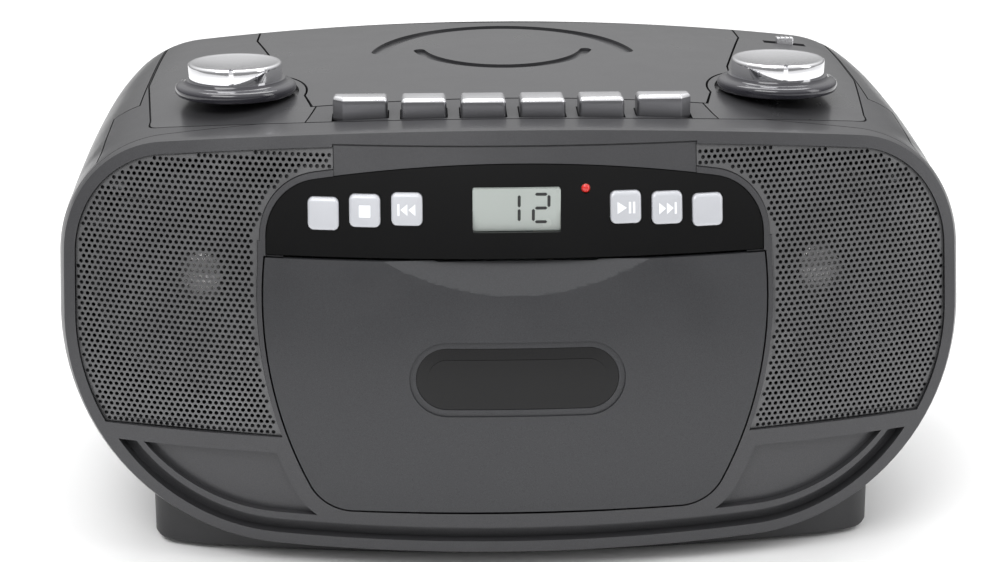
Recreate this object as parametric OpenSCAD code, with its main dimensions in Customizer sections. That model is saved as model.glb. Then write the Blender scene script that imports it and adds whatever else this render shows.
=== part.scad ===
// Portable CD and cassette radio with a folding carrying handle.
// The front edge of the deck stands at front_y, edge_z; the floor is z = 0.

/* [Cabinet] */
// Half width of the front rim at its widest
rim_half_w = 177; // [174:0.5:180]
// Height of the front top edge above the floor
edge_z = 172; // [170:0.5:174]
// Radius of the bulged front, seen from above
plan_r = 450; // [440:5:470]
// Radius of the crowned top, seen from the front
crown_r = 1271; // [1200:1:1400]
// Wall of the cabinet mouldings
wall = 2.5; // [2:0.1:3]
// Wall of the front face
face_wall = 4; // [3.5:0.1:4.5]
// Half width of the base plinth
base_half_w = 146; // [140:1:150]

/* [Cassette door] */
// Half width of the door at its widest
door_half_w = 97; // [95:0.5:98]
// Top edge of the door
door_top_z = 124.3; // [122:0.1:125]
// Bottom edge of the door
door_bottom_z = 25.8; // [25:0.1:27]
// Thickness of the door panel
door_t = 2.6; // [2:0.1:3]

/* [Display panel] */
// Half width of the black panel
panel_half_w = 95.5; // [94:0.5:96]
// Top of the panel in the middle
panel_top_z = 159.7; // [158:0.1:161]
// Side of a square button
button_size = 11.9; // [11:0.1:12.2]
// Travel of a button
button_travel = 1.2; // [0.8:0.1:1.4]

/* [Deck] */
// Distance of each knob from the middle
knob_x = 111; // [110:0.5:112]
// Diameter of a knob's cap
knob_d = 38; // [36:0.5:40]
// Diameter of a knob's skirt
skirt_d = 49; // [46:0.5:50]
// Top of the knobs
knob_top_z = 186.5; // [184:0.5:190]
// Spacing of the piano keys
key_pitch = 23.1; // [22.8:0.1:23.3]
// Top of the piano keys
key_top_z = 180; // [178:0.5:182]

/* [CD player] */
// Depth position of the disc's middle
disc_y = 15.4; // [14:0.1:17]
// Radius of the disc well
well_r = 61.5; // [61:0.1:62]

/* [Handle] */
// Depth position of the handle pivot
pivot_y = -38; // [-39:0.5:-37]
// Height of the handle pivot
pivot_z = 140; // [139:0.5:141]
// Radius of the arm's round end
arm_end_r = 22; // [20:0.5:22]
// Radius swept by the inside of the grip
grip_r = 134.8; // [134.8:0.1:135.2]

/* [Hidden] */
$fn = 48;
front_y = -88.6;
// clearance between pieces that move, and between pieces that only meet
gap = 0.3;
fit = 0.05;
plan_cy = front_y + plan_r;
back_y = 107;
part_y = -60.3;

// ---- outline of the cabinet seen from the front ----
upper_r = 45;
upper_cx = rim_half_w - 0.5 - upper_r;
crown_a = acos(upper_cx / (crown_r - upper_r));
upper_cz = edge_z - crown_r + (crown_r - upper_r) * sin(crown_a);
lower_r = 85;
lower_cx = rim_half_w - lower_r;
bottom_r = 3023;
bottom_z = 8.6;
bottom_a = acos(lower_cx / (bottom_r - lower_r));
lower_cz = bottom_z + bottom_r - (bottom_r - lower_r) * sin(bottom_a);

// n steps round an arc; first = 1 leaves out its first point
function arc_pts(cx, cy, r, a0, a1, n, first = 0) =
    [for (i = [first:n]) let (a = a0 + (a1 - a0) * i / n) [cx + r * cos(a), cy + r * sin(a)]];
function mirrored(p) = [for (i = [len(p) - 1:-1:0]) if (abs(p[i][0]) > 0.001) [-p[i][0], p[i][1]]];
function closed_pts(half) = concat(half, mirrored(half));

// inset d moves every side inwards; up lifts the crown and its corners
function outline(d, up = 0) = closed_pts(concat(
    arc_pts(0, bottom_z + bottom_r, bottom_r - d, -90, -bottom_a, 2),
    arc_pts(lower_cx, lower_cz, lower_r - d, -bottom_a, 0, 9, 1),
    arc_pts(upper_cx, upper_cz + up, upper_r - d, 0, crown_a, 8),
    arc_pts(0, edge_z - crown_r + up, crown_r - d, crown_a, 90, 4, 1)));

// ---- the bulged front face ----
lean_max = 25;
lean_z = 40;
lean_r = 348;
function lean(z) = lean_max - pow(z - lean_z, 2) / (2 * lean_r);
function bulge(x, z) = plan_r - sqrt(pow(plan_r + lean(z), 2) - x * x);
function face_y(x, z) = front_y + bulge(x, z);

// sector of a ring that follows the front face between two insets
module face_shell(a, b, z0 = -4, z1 = 188, n = 8) {
    zs = [for (i = [0:n]) z0 + (z1 - z0) * i / n];
    translate([0, plan_cy, 0])
        rotate([0, 0, 240])
            rotate_extrude(angle = 60, $fn = 144)
                polygon(concat([for (z = zs) [plan_r + lean(z) - a, z]],
                               [for (i = [n:-1:0]) [plan_r + lean(zs[i]) - b, zs[i]]]));
}

// ---- the whole body as rings from front to back ----
// depth behind the front edge, share of the bulge, inset, rise of the top, share of the wall at the back
stations = [
    [-60, 0, 0, 0, 0],
    [0, 1, 0, 0, 0],
    [3, 1, -1.6, 0.4, 0],
    [9, 1, -3.2, 0.6, 0],
    [17, 1, -4, 0.8, 0],
    [50, 0.4, -4.2, 3.5, 0],
    [104, 0, -4.2, 8.4, 0],
    [150, 0, -3.6, 11, 0],
    [172, 0, -1.5, 11.3, 0.3],
    [184, 0, 3, 9, 0.7],
    [191, 0, 9, 3.5, 1],
    [back_y - front_y, 0, 18, -7, 1]];

function ring(s, e) = [for (p = outline(s[2] + e, s[3] + s[2]))
    [p[0], front_y + s[0] - e * s[4] + s[1] * bulge(p[0], p[1]), p[1]]];

// the body, with every wall moved inwards by e
module body(e = 0) {
    rings = [for (s = stations) ring(s, e)];
    n = len(rings[0]);
    m = len(rings);
    polyhedron(
        points = [for (r = rings) each r],
        faces = concat(
            [[for (j = [n - 1:-1:0]) j]],
            [for (i = [0:m - 2], j = [0:n - 1]) [i * n + j, (i + 1) * n + (j + 1) % n, (i + 1) * n + j]],
            [for (i = [0:m - 2], j = [0:n - 1]) [i * n + j, i * n + (j + 1) % n, (i + 1) * n + (j + 1) % n]],
            [[for (j = [0:n - 1]) (m - 1) * n + j]]));
}

// a drawing of the front (x, z) made thick from y0 to y1
module along_y(y0, y1) {
    translate([0, y1, 0])
        rotate([90, 0, 0])
            linear_extrude(y1 - y0) children();
}

// a drawing of the side (y, z) made thick from x0 to x1
module along_x(x0, x1) {
    translate([x0, 0, 0])
        rotate([90, 0, 90])
            linear_extrude(x1 - x0) children();
}

// a plan (x, y) made thick from z0 to z1
module along_z(z0, z1) {
    translate([0, 0, z0]) linear_extrude(z1 - z0) children();
}

module both_sides() {
    children();
    mirror([1, 0, 0]) children();
}

module box(x0, x1, y0, y1, z0, z1) {
    translate([x0, y0, z0]) cube([x1 - x0, y1 - y0, z1 - z0]);
}

// rod along Y, Z or X between two places
module rod_y(x, z, r, y0, y1) {
    translate([x, y1, z]) rotate([90, 0, 0]) cylinder(r = r, h = y1 - y0);
}

module rod_z(x, y, r, z0, z1) {
    translate([x, y, z0]) cylinder(r = r, h = z1 - z0);
}

module rod_x(y, z, r, x0, x1) {
    translate([x0, y, z]) rotate([0, 90, 0]) cylinder(r = r, h = x1 - x0);
}

// ---- outlines on the front face ----
door_side_r = 160;
door_side_z = 107;
door_corner_r = 18;
door_corner_cz = door_bottom_z + door_corner_r;
door_corner_a = asin((door_corner_cz - door_side_z) / (door_side_r - door_corner_r));
door_corner_cx = door_half_w - door_side_r + (door_side_r - door_corner_r) * cos(door_corner_a);
function door_pts(d) = closed_pts(concat(
    arc_pts(door_corner_cx, door_corner_cz, door_corner_r - d, -90, door_corner_a, 6),
    arc_pts(door_half_w - door_side_r, door_side_z, door_side_r - d, door_corner_a,
        asin((door_top_z - d - door_side_z) / (door_side_r - d)), 6, 1)));

panel_gap = 1.1;
panel_bottom_z = door_top_z + panel_gap;
panel_r = 480;
panel_corner_r = 22;
panel_corner_cx = panel_half_w - panel_corner_r;
panel_corner_a = acos(panel_corner_cx / (panel_r - panel_corner_r));
panel_corner_cz = panel_top_z - panel_r + (panel_r - panel_corner_r) * sin(panel_corner_a);
function panel_pts(d) = closed_pts(concat(
    [[panel_half_w - d, panel_bottom_z + d]],
    arc_pts(panel_corner_cx, panel_corner_cz, panel_corner_r - d, 0, panel_corner_a, 7),
    arc_pts(0, panel_top_z - panel_r, panel_r - d, panel_corner_a, 90, 4, 1)));

rim_w = 4.6;
grille_bottom_z = 55;
grille_top_x = 69.4;
band_w = 2.6;
// right hand grille
module grille_2d(d) {
    difference() {
        polygon(outline(rim_w + d));
        translate([-200, -10]) square([200 + grille_top_x + d, 200]);
        translate([-200, -10]) square([400, 10 + grille_bottom_z + d]);
        polygon(door_pts(-band_w - d));
        polygon(panel_pts(-band_w - d));
        translate([0, panel_bottom_z - 5]) square([door_half_w + band_w - 0.6 + d, 10]);
    }
}

// crescent groove under the door, and the scooped panels beside it
groove_top_z = 48.5;
groove_out = 6.2;
groove_in = 12.2;
groove_depth = 5;
scoop_depth = 3;
module groove_2d(g = 0) {
    intersection() {
        translate([0, -1.7])
            difference() {
                polygon(outline(groove_out - g));
                polygon(outline(groove_in + g));
            }
        translate([-200, 0]) square([400, groove_top_z + g]);
    }
}

module scoop_2d(g = 0) {
    difference() {
        polygon(outline(groove_in + 1.2 - g));
        polygon(door_pts(-7 - g));
        translate([-200, groove_top_z + g]) square([400, 200]);
    }
}

// ---- plans of the top ----
deck_front = 17;
deck_side = 150.8;
deck_rear_y = 88.5;
function deck_pts() = [[-143, -90], [143, -90], [143, -38], [deck_side, 13], [deck_side, deck_rear_y],
    [-deck_side, deck_rear_y], [-deck_side, 13], [-143, -38]];
module deck_2d(g = 0) {
    offset(delta = g)
        offset(r = 8, $fn = 16)
            offset(delta = -8)
                intersection() {
                    translate([0, plan_cy]) circle(r = plan_r - deck_front, $fn = 144);
                    polygon(deck_pts());
                }
}

lid_front_y = -43.6;
lid_rear_y = 87.2;
lid_half_w = 108.5;
module lid_2d(g = 0) {
    offset(delta = g)
        difference() {
            polygon([[-79, lid_front_y], [79, lid_front_y], [79, -31], [95, 10], [lid_half_w, 66],
                [lid_half_w, lid_rear_y], [-lid_half_w, lid_rear_y], [-lid_half_w, 66], [-95, 10], [-79, -31]]);
            for (s = [-1, 1]) translate([s * knob_x, knob_y]) circle(r = 29, $fn = 32);
        }
}

strip_pts = [[-83, -90], [83, -90], [77.5, lid_front_y - 0.5], [-77.5, lid_front_y - 0.5]];
module strip_2d(g = 0) {
    offset(delta = g)
        intersection() {
            translate([0, plan_cy]) circle(r = plan_r - deck_front, $fn = 144);
            polygon(strip_pts);
        }
}

knob_y = -22.6;
key_front_y = -70;
key_rear_y = -55;
key_w = 17.6;
outer_key_w = 21.4;
key_travel = 4.5;
function key_x(i) = (i - 2.5) * key_pitch + (i == 0 ? -1.7 : i == 5 ? 1.7 : 0);
function key_width(i) = (i == 0 || i == 5) ? outer_key_w : key_w;
// the row of fronts follows the curved seam
function key_front(i) = key_front_y + [5.2, 2.2, 0.9, 0.9, 2.2, 5.2][i];

// ---- room for the handle, seen from the side ----
// the arms' inner face, and the inner step further back that carries them up to the grip
arm_x = 164;
step_x = 152.2;
step_r = 37.6;
grip_low_z = 152;
module arm_2d(g = 0) {
    translate([pivot_y, pivot_z]) circle(r = arm_end_r + g);
    polygon([[pivot_y, pivot_z - arm_end_r - g], [pivot_y + grip_r + 2 + g, grip_low_z - g],
        [back_y + 6, grip_low_z - g], [back_y + 6, 196], [pivot_y, 196]]);
}

module step_2d(g = 0) {
    difference() {
        arm_2d(g);
        translate([pivot_y, pivot_z]) circle(r = step_r - g);
    }
}

module grip_2d(g = 0) {
    difference() {
        translate([40, grip_low_z - g]) square([back_y - 30, 60]);
        translate([pivot_y, pivot_z]) circle(r = grip_r - g, $fn = 90);
    }
}

// everything the handle needs, walls moved by g
module handle_room(g = 0) {
    both_sides() {
        along_x(arm_x - g, 200) arm_2d(g);
        along_x(step_x - g, arm_x) step_2d(g);
    }
    along_x(-200, 200) grip_2d(g);
}

// ---- cabinet ----
corner_ribs = [[-168, 95], [-168, 75], [-104, 163], [-92, 163], [92, 163], [104, 163], [168, 75], [168, 95]];
hinge_y = -106;
hinge_z = 31;
module front_cabinet() {
    color("#4b4b4e") {
        difference() {
            intersection() {
                body(0);
                face_shell(0, 140);
                box(-200, 200, -200, part_y, -5, 200);
            }
            // inside, with ribs and the backing of the groove and scoops left behind the face
            difference() {
                intersection() {
                    body(wall);
                    face_shell(face_wall, 150);
                }
                for (p = corner_ribs) box(p[0] - 1, p[0] + 1, -118, -84, p[1] - 9, p[1] + 9);
                intersection() {
                    face_shell(3, groove_depth + 2.5);
                    along_y(-130, part_y) {
                        groove_2d(2.5);
                        scoop_2d(2);
                    }
                }
            }
            intersection() {
                face_shell(-2, groove_depth);
                along_y(-140, part_y) groove_2d();
            }
            intersection() {
                face_shell(-2, scoop_depth);
                along_y(-140, part_y) scoop_2d();
            }
            // openings behind the door, the display panel and the grilles
            along_y(-140, part_y + 1) {
                polygon(door_pts(-0.5));
                // room under the door's swinging lower edge
                intersection() {
                    translate([0, -4.3]) polygon(door_pts(0));
                    translate([-100, 0]) square([200, 46]);
                }
                polygon(panel_pts(3));
                translate([-door_half_w + 8, door_top_z - 4]) square([2 * door_half_w - 16, 10]);
                grille_2d(3);
                mirror([1, 0]) grille_2d(3);
            }
            // seats of the display panel and the grilles
            intersection() {
                face_shell(-2, 2.7);
                along_y(-140, part_y) {
                    polygon(panel_pts(-0.15));
                    grille_2d(0);
                    mirror([1, 0]) grille_2d(0);
                }
            }
            // room for the deck
            along_z(120, 200) deck_2d(gap);
        }
        // brackets of the door hinge, with their pins
        both_sides() {
            rod_x(hinge_y, hinge_z, 2.3, 39, 43);
            box(39, 43, hinge_y, -104, hinge_z - 2.3, hinge_z + 3);
            box(39, 43, -104.6, -95, 17.5, hinge_z + 3);
            rod_x(hinge_y, hinge_z, 1.4, 32.4, 41);
            box(39, 43, -104, -90, 11.5, 19);
        }
    }
}

// battery bay: eight C cells, four in a row
bay_half_w = 101;
bay_z0 = 36;
bay_z1 = 90;
bay_y0 = 76;
screw_places = [[118, 46], [147, 108], [75, 141]];
inlet_x = -128;
inlet_z = 100;
module rear_cabinet() {
    color("#454548") {
        difference() {
            intersection() {
                body(0);
                box(-200, 200, part_y + 0.02, 150, -5, 200);
            }
            difference() {
                body(wall);
                handle_room(gap + wall);
                // wall of the battery bay
                box(-bay_half_w - 2, bay_half_w + 2, bay_y0 - 2, back_y + 1, bay_z0 - 2, bay_z1 + 2);
                // screw posts
                for (s = [-1, 1], p = screw_places) rod_y(s * p[0], p[1], 5.6, 78, back_y);
            }
            handle_room(gap);
            along_z(150, 200) deck_2d(gap);
            box(-bay_half_w, bay_half_w, bay_y0, back_y - 4, bay_z0, bay_z1);
            box(-bay_half_w, bay_half_w, back_y - 5, back_y + 1, bay_z0 - 2.2, bay_z1 + 1.2);
            for (s = [-1, 1], p = screw_places) {
                rod_y(s * p[0], p[1], 3.2, 95, back_y + 1);
                rod_y(s * p[0], p[1], 1.7, 79, back_y);
            }
            box(inlet_x - 9.2, inlet_x + 9.2, 90, back_y + 1, inlet_z - 6.2, inlet_z + 6.2);
            // holes for the handle pivots
            both_sides() rod_x(pivot_y, pivot_z, 4.3, 140, arm_x);
            // hole for the antenna's foot
            rod_y(antenna_x, antenna_z, 3.3, 100, back_y + 1, $fn = 32);
        }
    }
}

foot_h = 2;
module base_2d(g = 0) {
    offset(r = 14 + g, $fn = 32)
        offset(delta = -14)
            intersection() {
                translate([0, -100 + 616]) circle(r = 616, $fn = 120);
                translate([-base_half_w, -110]) square([2 * base_half_w, 196]);
            }
}

module base_plinth() {
    color("#3c3c3f") {
        difference() {
            along_z(foot_h, 27) base_2d();
            along_z(foot_h + 2.5, 40) base_2d(-3);
            body(-0.2);
        }
        // ribs that carry the cabinet
        difference() {
            for (x = [-120:30:120])
                box(x - 1, x + 1, -86, 70, foot_h, 20);
            body(-0.2);
        }
    }
}

foot_places = [[-120, -70], [120, -70], [-120, 62], [120, 62]];
module rubber_feet() {
    color("#202022")
        for (p = foot_places) {
            rod_z(p[0], p[1], 9, 0, foot_h);
        }
}

module grille(s) {
    color("#77777a")
        mirror([s < 0 ? 1 : 0, 0, 0])
            intersection() {
                face_shell(1.2, 2.4);
                along_y(-125, part_y) grille_2d(0.1);
            }
}

module left_grille() { grille(-1); }
module right_grille() { grille(1); }

// ---- speakers ----
speaker_x = 122.5;
speaker_z = 108;
module turned_y(x, z) {
    translate([x, 1.5, z]) rotate([-90, 0, 0]) rotate_extrude($fn = 72) children();
}

module speaker(x) {
    color("#3a3a3c")
        turned_y(x, speaker_z)
            polygon([[36, -70], [44, -70], [44, -68], [38, -68], [27, -61], [27, -59], [25, -59], [25, -38],
                [0, -38], [0, -57], [23, -57], [23, -62], [36.3, -69.2]]);
}

module cone(x) {
    color("#9c9c9c")
        turned_y(x, speaker_z)
            polygon([[0, -71.5], [5, -70.6], [9, -68.2], [12, -64], [22, -67], [34, -72.4], [40, -72.4],
                [40, -70.1], [34.4, -70.1], [22, -64.2], [13, -61.4], [11, -61.4], [8, -65.8], [4, -68.4], [0, -69]]);
}

module left_speaker() { speaker(-speaker_x); }
module right_speaker() { speaker(speaker_x); }
module left_cone() { cone(-speaker_x); }
module right_cone() { cone(speaker_x); }

// ---- display panel, its board and buttons ----
button_x = [41.6, 57.6, 73.4];
button_z = [143.6, 142.8, 141.4];
lcd_z = 143.2;
lcd_w = 33.4;
lcd_h = 16.4;
lamp_x = 26.4;
lamp_z = 150.6;
module square_2d(w, r) {
    hull()
        for (a = [-1, 1], b = [-1, 1])
            translate([a * (w / 2 - r), b * (w / 2 - r)]) circle(r = r, $fn = 32);
}

module display_panel() {
    color("#161617")
        difference() {
            intersection() {
                face_shell(0.7, 2.6);
                along_y(-125, -60) polygon(panel_pts(0));
            }
            for (s = [-1, 1], i = [0:2])
                translate([s * button_x[i], -90, button_z[i]])
                    cube([button_size + 0.4, 60, button_size + 0.4], center = true);
            translate([0, -90, lcd_z]) cube([lcd_w + 0.2, 60, lcd_h + 0.2], center = true);
            rod_y(lamp_x, lamp_z, 1.9, -120, -60);
        }
}

module lcd_module() {
    color("#9aa09a") {
        box(-lcd_w / 2, lcd_w / 2, -97.2, -91, lcd_z - lcd_h / 2, lcd_z + lcd_h / 2);
        box(-lcd_w / 2 - 2, lcd_w / 2 + 2, -91.4, -88, lcd_z - 10, lcd_z + 10);
    }
}

board_y = -82;
button_rear = -86;
module button_board() {
    color("#2f5a3a") {
        difference() {
            box(-84, 84, board_y, board_y + 1.6, 131, 153.5);
            rod_y(0, 134, 1.6, board_y - 1, board_y + 3);
        }
        for (s = [-1, 1], i = [0:2])
            translate([s * button_x[i], board_y - 1.1, button_z[i]]) cube([6, 2.2, 6], center = true);
        box(-14, 14, -88, board_y, lcd_z - 6, lcd_z + 6);
        rod_y(lamp_x, lamp_z, 1.8, face_y(lamp_x, lamp_z) + 1, board_y);
    }
}

module button(s, i) {
    x = s * button_x[i];
    z = button_z[i];
    color("#c9cacd") {
        intersection() {
            face_shell(-1.1, 4.5);
            along_y(-120, -84) translate([x, z]) square_2d(button_size, 2);
        }
        rod_y(x, z, 2, face_y(x, z) + 3.5, button_rear);
    }
}

module program_button() { button(-1, 2); }
module stop_button() { button(-1, 1); }
module back_button() { button(-1, 0); }
module play_button() { button(1, 0); }
module next_button() { button(1, 1); }
module mode_button() { button(1, 2); }

// ---- cassette door ----
window_z = 79.6;
window_w = 78;
window_h = 24;
module stadium_2d(w, h) {
    hull() for (s = [-1, 1]) translate([s * (w - h) / 2, 0]) circle(r = h / 2, $fn = 32);
}

module cassette_door() {
    color("#4c4c50") {
        difference() {
            union() {
                intersection() {
                    face_shell(0, door_t);
                    along_y(-130, -70) polygon(door_pts(0));
                }
                // pad behind the finger scoop
                intersection() {
                    face_shell(1.5, 6.5);
                    along_y(-130, -70)
                        intersection() {
                            polygon(door_pts(0.6));
                            translate([0, door_top_z + 92]) circle(r = 107, $fn = 96);
                        }
                }
            }
            along_y(-130, -70) translate([0, window_z]) stadium_2d(window_w, window_h);
            // finger scoop
            intersection() {
                face_shell(-5, 4.2);
                along_y(-130, -70) translate([0, door_top_z + 96.5]) circle(r = 109.5, $fn = 96);
            }
        }
        // back wall of the scoop
        intersection() {
            face_shell(4.2, 5.7);
            along_y(-130, -70)
                intersection() {
                    polygon(door_pts(0.6));
                    translate([0, door_top_z + 92]) circle(r = 107, $fn = 96);
                }
        }
        // hinge lugs
        both_sides()
            difference() {
                union() {
                    rod_x(hinge_y, hinge_z, 3, 32.5, 38.5);
                    box(32.5, 38.5, -110.5, hinge_y, hinge_z - 1, hinge_z + 8);
                }
                rod_x(hinge_y, hinge_z, 1.4 + fit, 32, 40);
            }
    }
}

module door_window() {
    color("#1b1b1e")
        intersection() {
            face_shell(0.8, 2.4);
            along_y(-130, -70) translate([0, window_z]) stadium_2d(window_w - 0.2, window_h - 0.2);
        }
}

// pocket that carries the cassette on the door
cassette_w = 100.4;
cassette_h = 63.8;
cassette_z = window_z - cassette_h / 2;
module cassette_holder() {
    color("#2b2b2d")
        difference() {
            union() {
                both_sides() {
                    box(cassette_w / 2 + 0.4, cassette_w / 2 + 2, -112, -88, cassette_z - 2, cassette_z + 52);
                    box(cassette_w / 2 - 5, cassette_w / 2 + 2, -88, -86.5, cassette_z - 2, cassette_z + 20);
                }
                box(-cassette_w / 2 - 2, cassette_w / 2 + 2, -112, -86.5, cassette_z - 2, cassette_z - 0.2);
            }
            face_shell(-12, door_t + fit);
        }
}

// ---- cassette mechanism ----
chassis_y = -80;
hub_x = 21.25;
hub_z = 77.5;
capstan_x = 26;
capstan_z = 107.5;
capstan_r = 1.2;
flywheel_r = 26;
motor_x = -38;
motor_z = 100;
motor_pulley_r = 5;
belt_t = 1;
head_slide = 7.2;
module cassette_chassis() {
    color("#a9adb0")
        difference() {
            box(-58, 58, chassis_y, chassis_y + 1.6, 38, 128);
            for (s = [-1, 1]) rod_y(s * hub_x, hub_z, 3.05, -85, -70);
            rod_y(capstan_x, capstan_z, 3, -85, -70);
            rod_y(motor_x, motor_z, 7, -85, -70);
        }
}

module reel_spindle(x) {
    color("#d8d8d2") {
        rod_y(x, hub_z, 3, -84, -76.2);
        rod_y(x, hub_z, 3.6, -91, -84);
        for (a = [0, 120, 240])
            translate([x, 0, hub_z]) rotate([0, a, 0]) box(-0.6, 0.6, -90, -85, 2.5, 4.7);
        rod_y(x, hub_z, 6.5, -84, -80.3);
        rod_y(x, hub_z, 14, -78, -76.2);
    }
}

module supply_spindle() { reel_spindle(-hub_x); }
module takeup_spindle() { reel_spindle(hub_x); }

module capstan_flywheel() {
    color("#b9a66a") {
        rod_y(capstan_x, capstan_z, capstan_r, -92, -74);
        difference() {
            rod_y(capstan_x, capstan_z, flywheel_r, -75, -67.5);
            rod_y(capstan_x, capstan_z, flywheel_r - 3, -71, -60);
        }
        rod_y(capstan_x, capstan_z, 3, -71.5, -67.5);
    }
}

roller_x = 35.6;
module pinch_roller() {
    color("#222222")
        difference() {
            rod_y(roller_x, capstan_z + head_slide + 2, 6, -92, -84.6);
            rod_y(roller_x, capstan_z + head_slide + 2, 1.05, -93, -84);
        }
}

module head_bridge() {
    color("#8f9397") {
        difference() {
            box(-30, 44, -83, -81.6, 112.5, 127.5);
            rod_y(capstan_x, capstan_z + 5.5, 4, -85, -80);
        }
        box(-6.5, 6.5, -92, -83, 112.5, 124);
        box(-26, -19, -90, -83, 112.5, 121);
        rod_y(roller_x, capstan_z + head_slide + 2, 1, -92.5, -82);
    }
}

module cassette_motor() {
    color("#b5b8bb") {
        rod_y(motor_x, motor_z, 16, -66, -42);
    }
}

module motor_pulley() {
    color("#c2a45c") {
        rod_y(motor_x, motor_z, motor_pulley_r, -74, -68);
        rod_y(motor_x, motor_z, 1, -68.5, -66.3);
    }
}

module belt_2d(g) {
    hull() {
        translate([motor_x, motor_z]) circle(r = motor_pulley_r + g);
        translate([capstan_x, capstan_z]) circle(r = flywheel_r + g);
    }
}

module drive_belt() {
    color("#1a1a1a")
        along_y(-72.6, -70.4)
            difference() {
                belt_2d(belt_t + 0.3);
                belt_2d(0.3);
            }
}

// ---- piano keys ----
slot_play = 0.4;
strip_seam = 0.3;
module key_strip() {
    color("#505054") {
        difference() {
            intersection() {
                difference() {
                    body(0);
                    body(wall);
                }
                along_z(150, 200) strip_2d(-strip_seam);
            }
            for (i = [0:5])
                along_z(150, 200)
                    translate([key_x(i) - key_width(i) / 2 - slot_play, key_front(i) - slot_play])
                        square([key_width(i) + 2 * slot_play, key_rear_y - key_front(i) + 2 * slot_play]);
        }
        // guide fins between the keys
        for (i = [0:4])
            intersection() {
                x = (key_x(i) + key_width(i) / 2 + key_x(i + 1) - key_width(i + 1) / 2) / 2;
                box(x - 0.8, x + 0.8, -64.6, key_rear_y, 163, 175);
                body(1);
            }
    }
}

module key(i) {
    x = key_x(i);
    w = key_width(i);
    y = key_front(i);
    // the two end keys have one outer corner cut off
    cut = 4;
    color("#c6c7ca") {
        along_z(edge_z - 1.5, key_top_z)
            polygon(concat(
                [[x - w / 2, y + (i == 0 ? cut : 1)], [x - w / 2 + (i == 0 ? cut : 1), y]],
                [[x + w / 2 - (i == 5 ? cut : 1), y], [x + w / 2, y + (i == 5 ? cut : 1)]],
                [[x + w / 2, key_rear_y], [x - w / 2, key_rear_y]]));
        box(x - 5, x + 5, -64, -61, 154, edge_z - 1);
    }
}

module record_key() { key(0); }
module play_key() { key(1); }
module rewind_key() { key(2); }
module forward_key() { key(3); }
module stop_eject_key() { key(4); }
module pause_key() { key(5); }

// ---- deck with the disc well ----
switch_x = 129;
switch_y = 62;
tray_z0 = 161.5;
well_z = 164.5;
tray_z = 168;
hub_hole_r = 17.5;
// pockets under the deck: middle x and y, half sizes and ceiling
deck_pockets = [[knob_x, knob_y, 15, 15, 168.5], [switch_x, switch_y, 18.5, 8, 169.5],
    [127, 22, 12, 24, 169], [127, 80, 12, 6, 171.5], [104, -46, 14, 6, 166.5]];
module top_deck() {
    color("#4a4a4d") {
        difference() {
            intersection() {
                body(0);
                along_z(tray_z0, 200) deck_2d(0);
            }
            both_sides()
                for (p = deck_pockets)
                    box(p[0] - p[2], p[0] + p[2], p[1] - p[3], p[1] + p[3], tray_z0 - 1, p[4]);
            // room for the lid and for the key strip
            along_z(tray_z, 200) lid_2d(0.5);
            along_z(150, 200) polygon(strip_pts);
            rod_z(0, disc_y, well_r, well_z, 200, $fn = 60);
            rod_z(0, disc_y, hub_hole_r, 150, 200, $fn = 32);
            // slot for the laser
            box(12, 61, disc_y - 10, disc_y + 10, 150, 200);
            both_sides() rod_z(knob_x, knob_y, 4.3, 150, 200, $fn = 24);
            box(switch_x - 9.5, switch_x + 9.5, switch_y - 2.6, switch_y + 2.6, 150, 200);
            // trough for the lid's hinge
            box(-lid_half_w - 0.6, lid_half_w + 0.6, lid_hinge_y - 7, lid_rear_y + 0.5, tray_z - 1, 200);
        }
        // lugs and pins of the lid hinge
        both_sides() {
            box(72, 75, lid_hinge_y - 1.5, lid_hinge_y + 1.5, tray_z - 2, lid_hinge_z);
            rod_x(lid_hinge_y, lid_hinge_z, 1.5, 72, 75, $fn = 24);
            rod_x(lid_hinge_y, lid_hinge_z, 1.2, 60.5, 73, $fn = 24);
        }
    }
}

lid_hinge_y = 81.8;
lid_hinge_z = 178;
lid_low_z = 170;
// pockets under the lid: middle x and y, half sizes and ceiling
lid_pockets = [[22, -27, 18, 9, 173.4], [60, -16, 16, 12, 173.2], [54, 16, 32, 14, 175.4],
    [30, 54, 26, 16, 178.6], [78, 54, 14, 16, 176.4]];
module cd_lid() {
    color("#4d4d51") {
        difference() {
            intersection() {
                body(0);
                along_z(lid_low_z, 200) lid_2d(0);
                // rear edge rounded about the hinge
                union() {
                    box(-150, 150, -60, lid_hinge_y, 160, 200);
                    rod_x(lid_hinge_y, lid_hinge_z, lid_rear_y - lid_hinge_y, -150, 150, $fn = 64);
                }
            }
            both_sides()
                for (p = lid_pockets)
                    box(p[0] - p[2], p[0] + p[2], p[1] - p[3], p[1] + p[3], lid_low_z - 1, p[4]);
            // hinge bar: underside, slots for the lugs, bores for the pins
            box(-150, 150, lid_hinge_y - 6, 100, 160, lid_hinge_z - 2.6);
            both_sides() {
                box(71.6, 75.4, lid_hinge_y - 4.5, 100, 160, lid_hinge_z + 1.75);
                rod_x(lid_hinge_y, lid_hinge_z, 1.2 + fit, 60, 72, $fn = 24);
            }
            // room for the disc clamp
            rod_z(0, disc_y, 13.5, lid_low_z - 1, 174.4, $fn = 48);
            rod_z(0, disc_y, 3 + fit, 174, 177.4, $fn = 32);
        }
    }
}

module cd_clamp() {
    color("#e0e0dc") {
        rod_z(0, disc_y, 12.5, 171.3, 174.1);
        rod_z(0, disc_y, 3, 174, 177);
    }
}

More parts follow.
